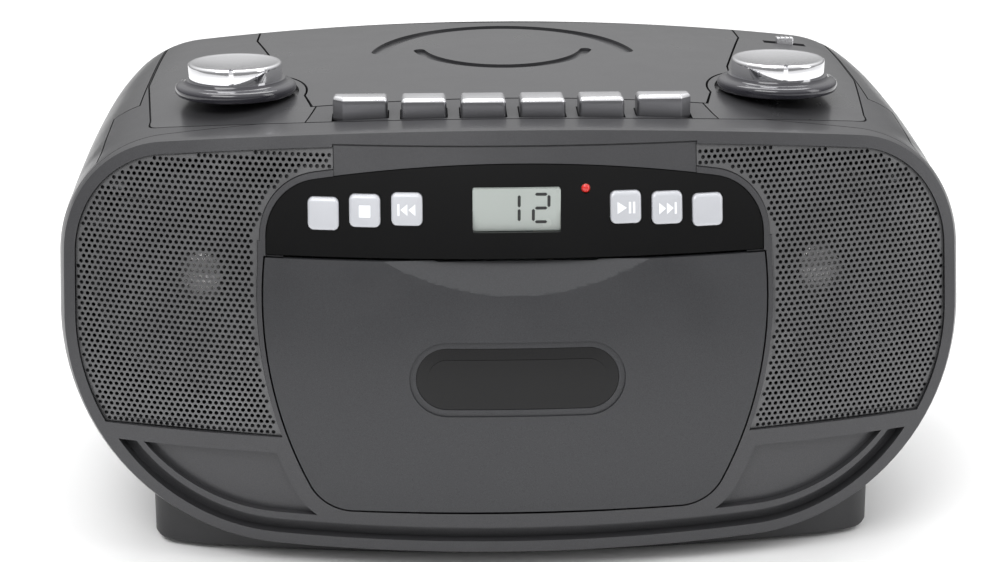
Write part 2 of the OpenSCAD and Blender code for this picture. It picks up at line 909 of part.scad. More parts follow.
// ---- CD mechanism ----
sled_x = 27;
module cd_mechanism() {
    color("#6f7275") {
        difference() {
            box(-34, 76, disc_y - 26, disc_y + 26, 148, 149.6);
            box(14, 68, disc_y - 8, disc_y + 8, 147, 151);
            rod_z(0, disc_y, 1.55, 140, 155);
        }
        rod_z(0, disc_y, 12, 136, 148, $fn = 40);
        for (s = [-1, 1]) {
            box(12.5, 14.5, disc_y + s * 13 - 2, disc_y + s * 13 + 2, 149.6, 158);
            box(70, 72, disc_y + s * 13 - 2, disc_y + s * 13 + 2, 149.6, 158);
            rod_x(disc_y + s * 13, 155, 1, 13, 71);
            box(-30, -26, disc_y + s * 20 - 2, disc_y + s * 20 + 2, 149.6, tray_z0);
            box(72, 76, disc_y + s * 20 - 2, disc_y + s * 20 + 2, 149.6, tray_z0);
        }
    }
}

module cd_spindle() {
    color("#d2d3cf") {
        rod_z(0, disc_y, 1.5, 148.5, 160);
        rod_z(0, disc_y, 15, 163.5, 167.2);
        rod_z(0, disc_y, 4, 158, 163.5);
        rod_z(0, disc_y, 7.4, 167.2, 168.6);
        translate([0, disc_y, 168.6]) cylinder(r1 = 7.4, r2 = 5.5, h = 1.4, $fn = 48);
    }
}

module laser_sled() {
    color("#30343a") {
        difference() {
            box(sled_x - 8.5, sled_x + 8.5, disc_y - 17, disc_y + 17, 151, 159);
            for (s = [-1, 1]) rod_x(disc_y + s * 13, 155, 1 + fit, sled_x - 10, sled_x + 10);
        }
        rod_z(sled_x, disc_y, 4.5, 159, 163.4);
    }
}

// ---- knobs ----
skirt_z = 174.7;
cap_z = 179.5;
module knob(x) {
    color("#c7c8cb") {
        rod_z(x, knob_y, knob_d / 2, cap_z, knob_top_z);
        translate([x, knob_y, skirt_z])
            rotate_extrude($fn = 96)
                polygon([[0, 0.4], [skirt_d / 2 - 2, 0.4], [skirt_d / 2, 2], [skirt_d / 2, 3],
                    [knob_d / 2 + 2, cap_z - skirt_z - 1], [knob_d / 2, cap_z - skirt_z + 0.5],
                    [0, cap_z - skirt_z + 0.5]]);
        rod_z(x, knob_y, 3, 158, skirt_z + 1);
    }
}

module volume_knob() { knob(-knob_x); }
module tuning_knob() { knob(knob_x); }

module volume_pot() {
    color("#3f6f8f")
        difference() {
            union() {
                box(-knob_x - 8, -knob_x + 8, knob_y - 8, knob_y + 8, 155, 163);
                rod_z(-knob_x, knob_y, 4, 163, 172);
            }
            rod_z(-knob_x, knob_y, 3 + fit, 157, 175);
        }
}

module tuning_capacitor() {
    color("#e3e0d2")
        difference() {
            union() {
                box(knob_x - 10, knob_x + 10, knob_y - 10, knob_y + 10, 150, 163);
                rod_z(knob_x, knob_y, 4, 163, 172);
            }
            rod_z(knob_x, knob_y, 3 + fit, 157, 175);
        }
}

module function_slider() {
    color("#c6c7ca") {
        box(switch_x - 3.8, switch_x + 3.8, switch_y - 2.3, switch_y + 2.3, 170, 179.5);
        box(switch_x - 12, switch_x + 12, switch_y - 5, switch_y + 5, 166.5, 168.5);
        box(switch_x - 2, switch_x + 2, switch_y - 2, switch_y + 2, 168.5, 170);
    }
}

// ---- handle ----
// pockets in the arms, open towards the cabinet: middle y and z, half sizes and depth
arm_pockets = [[-16, 134, 7, 6, 171], [10, 142, 10, 6, 169], [36, 148, 12, 6, 167]];
module handle() {
    color("#57575b") {
        difference() {
            intersection() {
                body(0);
                union() {
                    both_sides() {
                        along_x(arm_x, 200) arm_2d();
                        along_x(step_x, arm_x) step_2d();
                    }
                    along_x(-200, 200) grip_2d();
                }
            }
            both_sides()
                for (p = arm_pockets)
                    box(arm_x - 1, p[4], p[0] - p[2], p[0] + p[2], p[1] - p[3], p[1] + p[3]);
            both_sides() rod_x(pivot_y, pivot_z, 4 + fit, arm_x - 1, 171.5);
        }
    }
}

module handle_pivots() {
    color("#8e9194")
        both_sides() {
            rod_x(pivot_y, pivot_z, 4, 155, 171);
            rod_x(pivot_y, pivot_z, 7, 155, 160.8);
        }
}

// ---- antenna, stowed along the back ----
antenna_x = 133;
antenna_z = 126;
antenna_y = 110.7;
tube_x0 = -42;
tube_r = 2.4;
elbow_x = antenna_x - 9;
tip_r = 1.5;
module antenna_base() {
    color("#9a9da0") {
        rod_y(antenna_x, antenna_z, 3, 104.6, antenna_y - 1);
        rod_y(antenna_x, antenna_z, 6, back_y + 0.3, antenna_y + 2.4);
        difference() {
            box(elbow_x - 3, antenna_x, back_y + 0.8, antenna_y + 2.4, antenna_z - 3.6, antenna_z + 3.6);
            box(elbow_x - 4, elbow_x + 4, back_y, antenna_y + 4, antenna_z - 2, antenna_z + 2);
            rod_z(elbow_x, antenna_y, 1.1, antenna_z - 5, antenna_z + 5);
        }
    }
}

module antenna_tube() {
    color("#c9cbcd") {
        difference() {
            union() {
                rod_x(antenna_y, antenna_z, tube_r, tube_x0, elbow_x - 4.5);
                box(elbow_x - 5, elbow_x, antenna_y - 1.8, antenna_y + 1.8, antenna_z - 1.8, antenna_z + 1.8);
                rod_z(elbow_x, antenna_y, 1.8, antenna_z - 1.8, antenna_z + 1.8);
            }
            rod_x(antenna_y, antenna_z, tip_r + fit, tube_x0 - 1, elbow_x - 8);
        }
        rod_z(elbow_x, antenna_y, 1.04, antenna_z - 3.4, antenna_z + 3.4);
    }
}

module antenna_tip() {
    color("#d6d7d9") {
        rod_x(antenna_y, antenna_z, tip_r, tube_x0 - 2, elbow_x - 10);
        rod_x(antenna_y, antenna_z, 2.8, tube_x0 - 6, tube_x0 - 0.6);
    }
}

// ---- power ----
module battery_door() {
    color("#434346") {
        box(-bay_half_w + 0.3, bay_half_w - 0.3, back_y - 2, back_y - 0.05, bay_z0 - 2, bay_z1 + 0.8);
        for (x = [-80:40:80]) box(x - 0.8, x + 0.8, back_y - 3.8, back_y - 2, bay_z0 + 4, bay_z1 - 4);
    }
}

module battery_contacts() {
    color("#c9b37a")
        for (s = [-1, 1], z = [bay_z0 + 13.2, bay_z1 - 13.2]) {
            box(s > 0 ? bay_half_w - 1 : -bay_half_w + 0.1, s > 0 ? bay_half_w - 0.1 : -bay_half_w + 1,
                bay_y0 + 6, bay_y0 + 22, z - 9, z + 9);
            box(s > 0 ? bay_half_w - 3 : -bay_half_w + 1, s > 0 ? bay_half_w - 1 : -bay_half_w + 3,
                bay_y0 + 12, bay_y0 + 16, z - 2, z + 2);
        }
}

module ac_inlet() {
    color("#1d1d1f") {
        difference() {
            box(inlet_x - 9, inlet_x + 9, 91, back_y - 0.2, inlet_z - 6, inlet_z + 6);
            box(inlet_x - 7, inlet_x + 7, 94, back_y + 1, inlet_z - 4, inlet_z + 4);
        }
        for (s = [-1, 1]) rod_y(inlet_x + s * 4.2, inlet_z, 1.2, 93.5, 103);
    }
}

module main_board() {
    color("#2f5a3a") {
        difference() {
            box(-72, 72, -30, -28.4, 34, 128);
            for (s = [-1, 1]) rod_y(s * 66, 122, 1.7, -32, -25);
        }
        for (p = [[-50, 60], [-36, 60], [-50, 82], [20, 100], [38, 100]]) rod_y(p[0], p[1], 5, -28.4, -12);
        box(-12, 14, -28.4, -25, 54, 66);
        box(30, 56, -28.4, -20, 50, 52);
        box(30, 56, -28.4, -26, 52, 78);
    }
}

module transformer() {
    color("#8a6d3b") {
        box(-26, 26, 10, 50, 18, 58);
        box(-30, 30, 24, 36, 12.2, 18);
        box(-20, 20, 4, 10, 24, 52);
        box(-20, 20, 50, 56, 24, 52);
    }
}

module case_screws() {
    color("#5a5a5c")
        for (s = [-1, 1], p = screw_places) {
            rod_y(s * p[0], p[1], 2.9, 95.1, 96.9);
            rod_y(s * p[0], p[1], 1.5, 81, 95.2);
        }
}

front_cabinet();
rear_cabinet();
top_deck();
key_strip();
base_plinth();
rubber_feet();
left_grille();
right_grille();
left_speaker();
right_speaker();
left_cone();
right_cone();
display_panel();
lcd_module();
button_board();
program_button();
stop_button();
back_button();
play_button();
next_button();
mode_button();
cassette_door();
door_window();
cassette_holder();
cassette_chassis();
supply_spindle();
takeup_spindle();
capstan_flywheel();
pinch_roller();
head_bridge();
cassette_motor();
motor_pulley();
drive_belt();
record_key();
play_key();
rewind_key();
forward_key();
stop_eject_key();
pause_key();
volume_knob();
tuning_knob();
volume_pot();
tuning_capacitor();
function_slider();
cd_lid();
cd_clamp();
cd_spindle();
cd_mechanism();
laser_sled();
handle();
handle_pivots();
antenna_base();
antenna_tube();
antenna_tip();
battery_door();
battery_contacts();
main_board();
transformer();
ac_inlet();
case_screws();
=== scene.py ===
"""A portable CD and cassette radio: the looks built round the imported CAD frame.

Shapes are worked out in millimetres, in the frame's own axes, and become metres in piece().
"""

import math

import bmesh
import bpy
import numpy as np
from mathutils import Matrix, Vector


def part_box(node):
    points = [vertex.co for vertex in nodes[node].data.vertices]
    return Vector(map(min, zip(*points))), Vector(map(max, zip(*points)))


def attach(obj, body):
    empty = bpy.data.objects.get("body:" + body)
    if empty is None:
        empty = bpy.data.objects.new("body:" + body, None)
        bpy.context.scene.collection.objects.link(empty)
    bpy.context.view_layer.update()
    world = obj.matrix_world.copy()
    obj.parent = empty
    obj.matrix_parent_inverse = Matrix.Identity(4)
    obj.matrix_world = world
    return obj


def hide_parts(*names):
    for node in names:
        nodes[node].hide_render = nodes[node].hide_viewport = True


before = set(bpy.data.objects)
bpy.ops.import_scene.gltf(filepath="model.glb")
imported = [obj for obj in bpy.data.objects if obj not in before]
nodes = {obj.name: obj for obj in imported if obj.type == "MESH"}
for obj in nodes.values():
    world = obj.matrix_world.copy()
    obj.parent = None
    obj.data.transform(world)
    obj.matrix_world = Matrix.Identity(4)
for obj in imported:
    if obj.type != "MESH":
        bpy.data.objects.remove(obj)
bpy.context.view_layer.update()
scene = bpy.context.scene
MM = 0.001

# ---- driving sizes, in millimetres ----
EDGE_Z = 172.0
RIM_HALF_W = 177.0
PLAN_R = 450.0
CROWN_R = 1271.0
FRONT_Y = -88.6
PART_Y = -60.3
BACK_Y = 107.0
WALL = 2.5
FACE_WALL = 4.0
SEAM = 0.6
PLAN_CY = FRONT_Y + PLAN_R
DOOR_HALF_W, DOOR_TOP_Z, DOOR_BOTTOM_Z, DOOR_T = 97.0, 124.3, 25.8, 2.6
PANEL_HALF_W, PANEL_TOP_Z, PANEL_BOTTOM_Z = 95.5, 159.7, 125.4
RIM_W, BAND_W = 4.6, 2.6
GRILLE_BOTTOM_Z, GRILLE_TOP_X = 55.0, 69.4
HOLE_PITCH, HOLE_R = 2.35, 0.78
DOOR_HINGE_Y, DOOR_HINGE_Z, DOOR_SWEEP_HALF_W = -106, 31, 62
SPEAKER_X, SPEAKER_Z = 122.5, 108.0
BAY_HALF_W, BAY_Y0, BAY_Y1, BAY_Z0, BAY_Z1 = 101, 76, 103, 36, 90


def corners(node):
    """Lowest and highest corner of a CAD node, in millimetres."""
    low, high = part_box(node)
    return low / MM, high / MM


# ---- outlines, as lists of (across, up) points ----
def arc(cx, cy, r, a0, a1, n, first=0):
    steps = [math.radians(a0 + (a1 - a0) * i / n) for i in range(first, n + 1)]
    return [(cx + r * math.cos(a), cy + r * math.sin(a)) for a in steps]


def closed(half):
    return half + [(-x, z) for x, z in reversed(half) if abs(x) > 0.001]


UPPER_R, LOWER_R, BOTTOM_R, BOTTOM_Z = 45.0, 85.0, 3023.0, 8.6
UPPER_CX = RIM_HALF_W - 0.5 - UPPER_R
CROWN_A = math.degrees(math.acos(UPPER_CX / (CROWN_R - UPPER_R)))
UPPER_CZ = EDGE_Z - CROWN_R + (CROWN_R - UPPER_R) * math.sin(math.radians(CROWN_A))
LOWER_CX = RIM_HALF_W - LOWER_R
BOTTOM_A = math.degrees(math.acos(LOWER_CX / (BOTTOM_R - LOWER_R)))
LOWER_CZ = BOTTOM_Z + BOTTOM_R - (BOTTOM_R - LOWER_R) * math.sin(math.radians(BOTTOM_A))


def outline(inset, up=0.0):
    """The cabinet seen from the front, moved inwards by inset and with its crown lifted."""
    return closed(
        arc(0, BOTTOM_Z + BOTTOM_R, BOTTOM_R - inset, -90, -BOTTOM_A, 10)
        + arc(LOWER_CX, LOWER_CZ, LOWER_R - inset, -BOTTOM_A, 0, 26, 1)
        + arc(UPPER_CX, UPPER_CZ + up, UPPER_R - inset, 0, CROWN_A, 26)
        + arc(0, EDGE_Z - CROWN_R + up, CROWN_R - inset, CROWN_A, 90, 16, 1)
    )


def door_outline(inset):
    side_r, side_z, corner_r = 160.0, 107.0, 18.0
    corner_z = DOOR_BOTTOM_Z + corner_r
    corner_a = math.asin((corner_z - side_z) / (side_r - corner_r))
    corner_x = DOOR_HALF_W - side_r + (side_r - corner_r) * math.cos(corner_a)
    top_a = math.asin((DOOR_TOP_Z - inset - side_z) / (side_r - inset))
    return closed(
        arc(corner_x, corner_z, corner_r - inset, -90, math.degrees(corner_a), 16)
        + arc(DOOR_HALF_W - side_r, side_z, side_r - inset,
              math.degrees(corner_a), math.degrees(top_a), 16, 1)
    )


def panel_outline(inset):
    top_r, corner_r = 480.0, 22.0
    corner_x = PANEL_HALF_W - corner_r
    corner_a = math.degrees(math.acos(corner_x / (top_r - corner_r)))
    corner_z = PANEL_TOP_Z - top_r + (top_r - corner_r) * math.sin(math.radians(corner_a))
    return closed(
        [(PANEL_HALF_W - inset, PANEL_BOTTOM_Z + inset)]
        + arc(corner_x, corner_z, corner_r - inset, 0, corner_a, 16)
        + arc(0, PANEL_TOP_Z - top_r, top_r - inset, corner_a, 90, 14, 1)
    )


def rectangle(x0, x1, z0, z1):
    return [(x0, z0), (x1, z0), (x1, z1), (x0, z1)]


def rounded(cx, cz, w, h, r, n=6):
    """Rectangle with round corners about its middle."""
    points = []
    for a, (sx, sz) in zip((0, 90, 180, 270), ((1, 1), (-1, 1), (-1, -1), (1, -1))):
        points += arc(cx + sx * (w / 2 - r), cz + sz * (h / 2 - r), r, a, a + 90, n)
    return points


def round_corners(points, r, n=6):
    """A closed outline whose corners are cut by arcs of radius r or as much as fits."""
    out = []
    for i, p in enumerate(points):
        p = np.array(p, float)
        a = np.array(points[i - 1], float) - p
        b = np.array(points[(i + 1) % len(points)], float) - p
        la, lb = np.linalg.norm(a), np.linalg.norm(b)
        half = math.acos(max(-1, min(1, float(a @ b) / (la * lb)))) / 2
        cut = min(r / max(math.tan(half), 1e-6), la * 0.45, lb * 0.45)
        start, end = p + a / la * cut, p + b / lb * cut
        for k in range(n + 1):
            t = k / n
            out.append(tuple((1 - t) ** 2 * start + 2 * t * (1 - t) * p + t * t * end))
    return out


# ---- the bulged front ----
def lean(z):
    return 25 - (z - 40) ** 2 / 696


def bulge(x, z):
    return PLAN_R - math.sqrt((PLAN_R + lean(z)) ** 2 - x * x)


def face_y(x, z):
    return FRONT_Y + bulge(x, z)


# ---- solids ----
def solid(points, faces, name="work"):
    mesh = bpy.data.meshes.new(name)
    mesh.from_pydata([tuple(p) for p in points], [], faces)
    obj = bpy.data.objects.new(name, mesh)
    scene.collection.objects.link(obj)
    bm = bmesh.new()
    bm.from_mesh(mesh)
    bmesh.ops.recalc_face_normals(bm, faces=bm.faces)
    bm.to_mesh(mesh)
    bm.free()
    return obj


def loft(rings):
    """Closed solid through rings that have the same number of points."""
    n, m = len(rings[0]), len(rings)
    faces = [list(range(n)), list(range((m - 1) * n, m * n))]
    for i in range(m - 1):
        for j in range(n):
            k = (j + 1) % n
            faces.append([i * n + j, i * n + k, (i + 1) * n + k, (i + 1) * n + j])
    return solid([p for r in rings for p in r], faces)


def along_y(points, y0, y1):
    return loft([[(x, y, z) for x, z in points] for y in (y0, y1)])


def along_z(points, z0, z1):
    return loft([[(x, y, z) for x, y in points] for z in (z0, z1)])


def along_x(points, x0, x1):
    return loft([[(x, y, z) for y, z in points] for x in (x0, x1)])


def box(x0, x1, y0, y1, z0, z1):
    return along_z(rectangle(x0, x1, y0, y1), z0, z1)


def rod_x(y, z, r, x0, x1, n=64):
    return along_x(arc(y, z, r, 0, 360, n, 1), x0, x1)


def rod_y(x, z, r, y0, y1, n=48):
    return along_y(arc(x, z, r, 0, 360, n, 1), y0, y1)


def rod_z(x, y, r, z0, z1, n=96):
    return along_z(arc(x, y, r, 0, 360, n, 1), z0, z1)


def combine(obj, tools, operation):
    """Adds tools to obj, cuts them from it, or keeps what is common to all."""
    for tool in tools if isinstance(tools, (list, tuple)) else [tools]:
        step = obj.modifiers.new("step", "BOOLEAN")
        step.object, step.operation, step.solver = tool, operation, "MANIFOLD"
        graph = bpy.context.evaluated_depsgraph_get()
        mesh = bpy.data.meshes.new_from_object(obj.evaluated_get(graph))
        obj.modifiers.clear()
        old, obj.data = obj.data, mesh
        bpy.data.meshes.remove(old)
        bpy.data.objects.remove(tool)
    return obj


def cut(obj, *tools):
    return combine(obj, tools, "DIFFERENCE")


def join(obj, *tools):
    return combine(obj, tools, "UNION")


def common(obj, *tools):
    return combine(obj, tools, "INTERSECT")


def flipped(obj):
    """The solid turned into its mirror image in the plane x = 0."""
    for v in obj.data.vertices:
        v.co.x = -v.co.x
    obj.data.flip_normals()
    return obj


def mirrored(make, *args):
    """A solid and its mirror image."""
    return [make(*args), flipped(make(*args))]


def both_sides(a, b):
    """The stretch of x from a to b, on the left and on the right."""
    return [(-b, -a), (a, b)]


def face_shell(a, b, z0=-4.0, z1=190.0, n=48, turns=110):
    """The stretch between two depths behind the bulged front."""
    rings = []
    for j in range(turns + 1):
        angle = math.radians(-120 + 60 * j / turns)
        profile = [(PLAN_R + lean(z) - a, z) for z in np.linspace(z0, z1, n)]
        profile += [(PLAN_R + lean(z) - b, z) for z in np.linspace(z1, z0, n)]
        rings.append([(r * math.cos(angle), PLAN_CY + r * math.sin(angle), z) for r, z in profile])
    return loft(rings)


# depth, share of the bulge, inset, rise of the top, share of the wall at the back
STATIONS = np.array([
    [0, 1, 0, 0, 0],
    [3, 1, -1.6, 0.4, 0],
    [9, 1, -3.2, 0.6, 0],
    [17, 1, -4, 0.8, 0],
    [50, 0.4, -4.2, 3.5, 0],
    [104, 0, -4.2, 8.4, 0],
    [150, 0, -3.6, 11, 0],
    [172, 0, -1.5, 11.3, 0.3],
    [184, 0, 3, 9, 0.7],
    [191, 0, 9, 3.5, 1],
    [BACK_Y - FRONT_Y, 0, 18, -7, 1],
])


def smooth_stations():
    """The stations with two or three more between each pair, on monotone cubic curves."""
    x = STATIONS[:, 0]
    fine = [0.0]
    for a, b in zip(x, x[1:]):
        parts = max(3, round((b - a) / 8))
        fine += [a + (b - a) * k / parts for k in range(1, parts + 1)]
    columns = [np.array(fine)]
    for c in range(1, 5):
        y = STATIONS[:, c]
        h, d = np.diff(x), np.diff(y) / np.diff(x)
        m = np.concatenate([[d[0]], np.zeros(len(x) - 2), [d[-1]]])
        for i in range(1, len(x) - 1):
            if d[i - 1] * d[i] > 0:
                w1, w2 = 2 * h[i] + h[i - 1], h[i] + 2 * h[i - 1]
                m[i] = (w1 + w2) / (w1 / d[i - 1] + w2 / d[i])
        values = []
        for s in fine:
            i = min(max(np.searchsorted(x, s, side="right") - 1, 0), len(x) - 2)
            t = (s - x[i]) / h[i]
            values.append((2 * t**3 - 3 * t**2 + 1) * y[i] + (t**3 - 2 * t**2 + t) * h[i] * m[i]
                          + (3 * t**2 - 2 * t**3) * y[i + 1] + (t**3 - t**2) * h[i] * m[i + 1])
        columns.append(np.array(values))
    return np.vstack([[-60, 0, 0, 0, 0], np.stack(columns, axis=1)])


RINGS = smooth_stations()


def body(e=0.0):
    """The whole body of the set, with every wall moved inwards by e."""
    rings = []
    for depth, share, inset, rise, back in RINGS:
        points = outline(inset + e, rise + inset)
        rings.append([(x, FRONT_Y + depth - e * back + share * bulge(x, z), z) for x, z in points])
    return loft(rings)


# ---- plans of the top ----
DECK_SIDE, DECK_REAR_Y, DECK_FRONT = 150.8, 88.5, 17.0
LID_FRONT_Y, LID_REAR_Y, LID_HALF_W = -43.6, 87.2, 108.5
LID_HINGE_Y, LID_HINGE_Z = 81.8, 178.0
TRAY_Z, DISC_Y = 168.0, 15.4
KNOB_X, KNOB_Y = 111.0, -22.6
SLOT_X, SLOT_Y = 129.0, 62.0


def deck_outline(out):
    """The deck's plan: its front follows the curved edge of the cabinet."""
    r = PLAN_R - DECK_FRONT + out
    half = []
    for x in np.linspace(0, 137 + out, 24):
        half.append((x, PLAN_CY - math.sqrt(r * r - x * x)))
    y = half[-1][1]
    half += arc(136 + out, y + 8, 8, -88, 0, 8, 1)
    half += [(144 + out, -38), (DECK_SIDE + out, 13)]
    half += arc(DECK_SIDE + out - 8, DECK_REAR_Y + out - 8, 8, 0, 90, 8)
    return closed(half)


def lid_outline(out):
    """The CD lid's plan, hollowed round the two knobs."""
    r = 29 - out
    half = [(0, LID_FRONT_Y - out), (79 + out, LID_FRONT_Y - out)]
    for x, y in arc(KNOB_X, KNOB_Y, r, 218, 118, 30):
        if x < 79 + out + (y + 31) * 0.39 + 3 and LID_FRONT_Y < y:
            half.append((x, y))
    half += [(95 + out, 10), (LID_HALF_W + out, 66)]
    half += [(LID_HALF_W + out, LID_REAR_Y + out), (0, LID_REAR_Y + out)]
    return closed(half)


def strip_outline(out):
    r = PLAN_R - DECK_FRONT + out
    half = [(x, PLAN_CY - math.sqrt(r * r - x * x)) for x in np.linspace(0, 81 + out, 14)]
    return closed(half + [(77.5 + out, LID_FRONT_Y - 0.5 + out), (0, LID_FRONT_Y - 0.5 + out)])


# ---- room for the handle ----
PIVOT_Y, PIVOT_Z, ARM_END_R, ARM_X = -38, 140, 22, 164
STEP_X, STEP_R, GRIP_R, GRIP_LOW_Z = 152.2, 37.6, 134.8, 152


def arm_prism(g, x0, x1):
    low = [(PIVOT_Y, PIVOT_Z - ARM_END_R - g), (PIVOT_Y + GRIP_R + 2 + g, GRIP_LOW_Z - g)]
    plate = along_x(low + [(BACK_Y + 6, GRIP_LOW_Z - g), (BACK_Y + 6, 196), (PIVOT_Y, 196)], x0, x1)
    return join(plate, rod_x(PIVOT_Y, PIVOT_Z, ARM_END_R + g, x0, x1, 96))


def step_prism(g):
    round_end = rod_x(PIVOT_Y, PIVOT_Z, STEP_R - g, STEP_X - 2, ARM_X + 2, 96)
    return cut(arm_prism(g, STEP_X - g, ARM_X + 0.01), round_end)


def grip_prism(g):
    block = box(-200, 200, 40, BACK_Y + 10, GRIP_LOW_Z - g, 212)
    return cut(block, rod_x(PIVOT_Y, PIVOT_Z, GRIP_R - g, -201, 201, 160))


def handle_room(g):
    """Everything that the handle needs, with its walls moved outwards by g."""
    sides = mirrored(arm_prism, g, ARM_X - g, 202) + mirrored(step_prism, g)
    return join(grip_prism(g), *sides)


# ---- drawings on the front ----
def grille_drawing(inset, y0, y1):
    """The right hand grille's outline, as a solid along Y."""
    plate = along_y(outline(RIM_W + inset), y0, y1)
    x, low = GRILLE_TOP_X + inset, GRILLE_BOTTOM_Z + inset
    return cut(
        plate,
        along_y(rectangle(-220, x, -20, 200), y0 - 1, y1 + 1),
        along_y(rectangle(x - 1, 220, -20, low), y0 - 1, y1 + 1),
        along_y(door_outline(-BAND_W - inset), y0 - 1, y1 + 1),
        along_y(panel_outline(-BAND_W - inset), y0 - 1, y1 + 1),
        along_y(rectangle(0, DOOR_HALF_W + BAND_W - 0.6 + inset, 120.4, 130.4), y0 - 1, y1 + 1),
    )


GROOVE_TOP_Z, GROOVE_DEPTH, SCOOP_DEPTH = 48.5, 5.0, 3.0


def lowered(points, drop):
    return [(x, z - drop) for x, z in points]


def groove_drawing(g, y0, y1):
    """The crescent groove under the door."""
    drop = 1.7
    outer = along_y(lowered(outline(6.2 - g), drop), y0, y1)
    inner = along_y(lowered(outline(12.2 + g), drop), y0 - 1, y1 + 1)
    ring = cut(outer, inner)
    return common(ring, box(-200, 200, y0 - 1, y1 + 1, 0, GROOVE_TOP_Z + g))


def scoop_drawing(g, y0, y1):
    """The two sunk fields beside the door."""
    field = along_y(outline(13.4 - g), y0, y1)
    door = along_y(door_outline(-7 - g), y0 - 1, y1 + 1)
    return cut(field, door, box(-200, 200, y0 - 2, y1 + 2, GROOVE_TOP_Z + g, 200))


# ---- materials, all from nodes ----
def material(name, color, rough, metal=0.0, coat=0.0, grain=0.0, grain_scale=1500.0, tint=0.12, speck=0.0,
             specular=0.5, brushed=None):
    """Moulded or painted surface: mottled colour, uneven gloss and a fine grain."""
    mat = bpy.data.materials.new(name)
    mat.use_nodes = True
    tree = mat.node_tree
    shader = tree.nodes["Principled BSDF"]
    shader.inputs["Metallic"].default_value = metal
    shader.inputs["Coat Weight"].default_value = coat
    shader.inputs["Coat Roughness"].default_value = 0.12
    shader.inputs["Specular IOR Level"].default_value = specular
    place = tree.nodes.new("ShaderNodeTexCoord").outputs["Object"]

    def noise(scale, detail, stretch=None):
        node = tree.nodes.new("ShaderNodeTexNoise")
        node.inputs["Scale"].default_value = scale
        node.inputs["Detail"].default_value = detail
        source = place
        if stretch:
            mapping = tree.nodes.new("ShaderNodeMapping")
            mapping.inputs["Scale"].default_value = stretch
            tree.links.new(place, mapping.inputs["Vector"])
            source = mapping.outputs["Vector"]
        tree.links.new(source, node.inputs["Vector"])
        return node.outputs["Fac"]

    def spread(value, low, high):
        node = tree.nodes.new("ShaderNodeMapRange")
        node.inputs["From Min"].default_value = 0.3
        node.inputs["From Max"].default_value = 0.7
        node.inputs["To Min"].default_value = low
        node.inputs["To Max"].default_value = high
        tree.links.new(value, node.inputs["Value"])
        return node.outputs["Result"]

    mottle = noise(38.0, 3.0)
    fine = noise(grain_scale, 2.0, brushed)
    ramp = tree.nodes.new("ShaderNodeMix")
    ramp.data_type = "RGBA"
    ramp.inputs["A"].default_value = (*[c * (1 - tint) for c in color], 1)
    ramp.inputs["B"].default_value = (*[min(1, c * (1 + tint)) for c in color], 1)
    tree.links.new(mottle, ramp.inputs["Factor"])
    result = ramp.outputs["Result"]
    if speck:
        flakes = tree.nodes.new("ShaderNodeMix")
        flakes.data_type = "RGBA"
        flakes.inputs["B"].default_value = (*[min(1, c * 2.6 + 0.02) for c in color], 1)
        tree.links.new(spread(noise(5200.0, 1.0), 0.0, speck), flakes.inputs["Factor"])
        tree.links.new(result, flakes.inputs["A"])
        result = flakes.outputs["Result"]
    tree.links.new(result, shader.inputs["Base Color"])
    gloss = spread(fine if brushed else mottle, rough * 0.88, rough * 1.14)
    tree.links.new(gloss, shader.inputs["Roughness"])
    if grain:
        bump = tree.nodes.new("ShaderNodeBump")
        bump.inputs["Strength"].default_value = grain
        bump.inputs["Distance"].default_value = 0.0002
        tree.links.new(fine, bump.inputs["Height"])
        tree.links.new(bump.outputs["Normal"], shader.inputs["Normal"])
    return mat


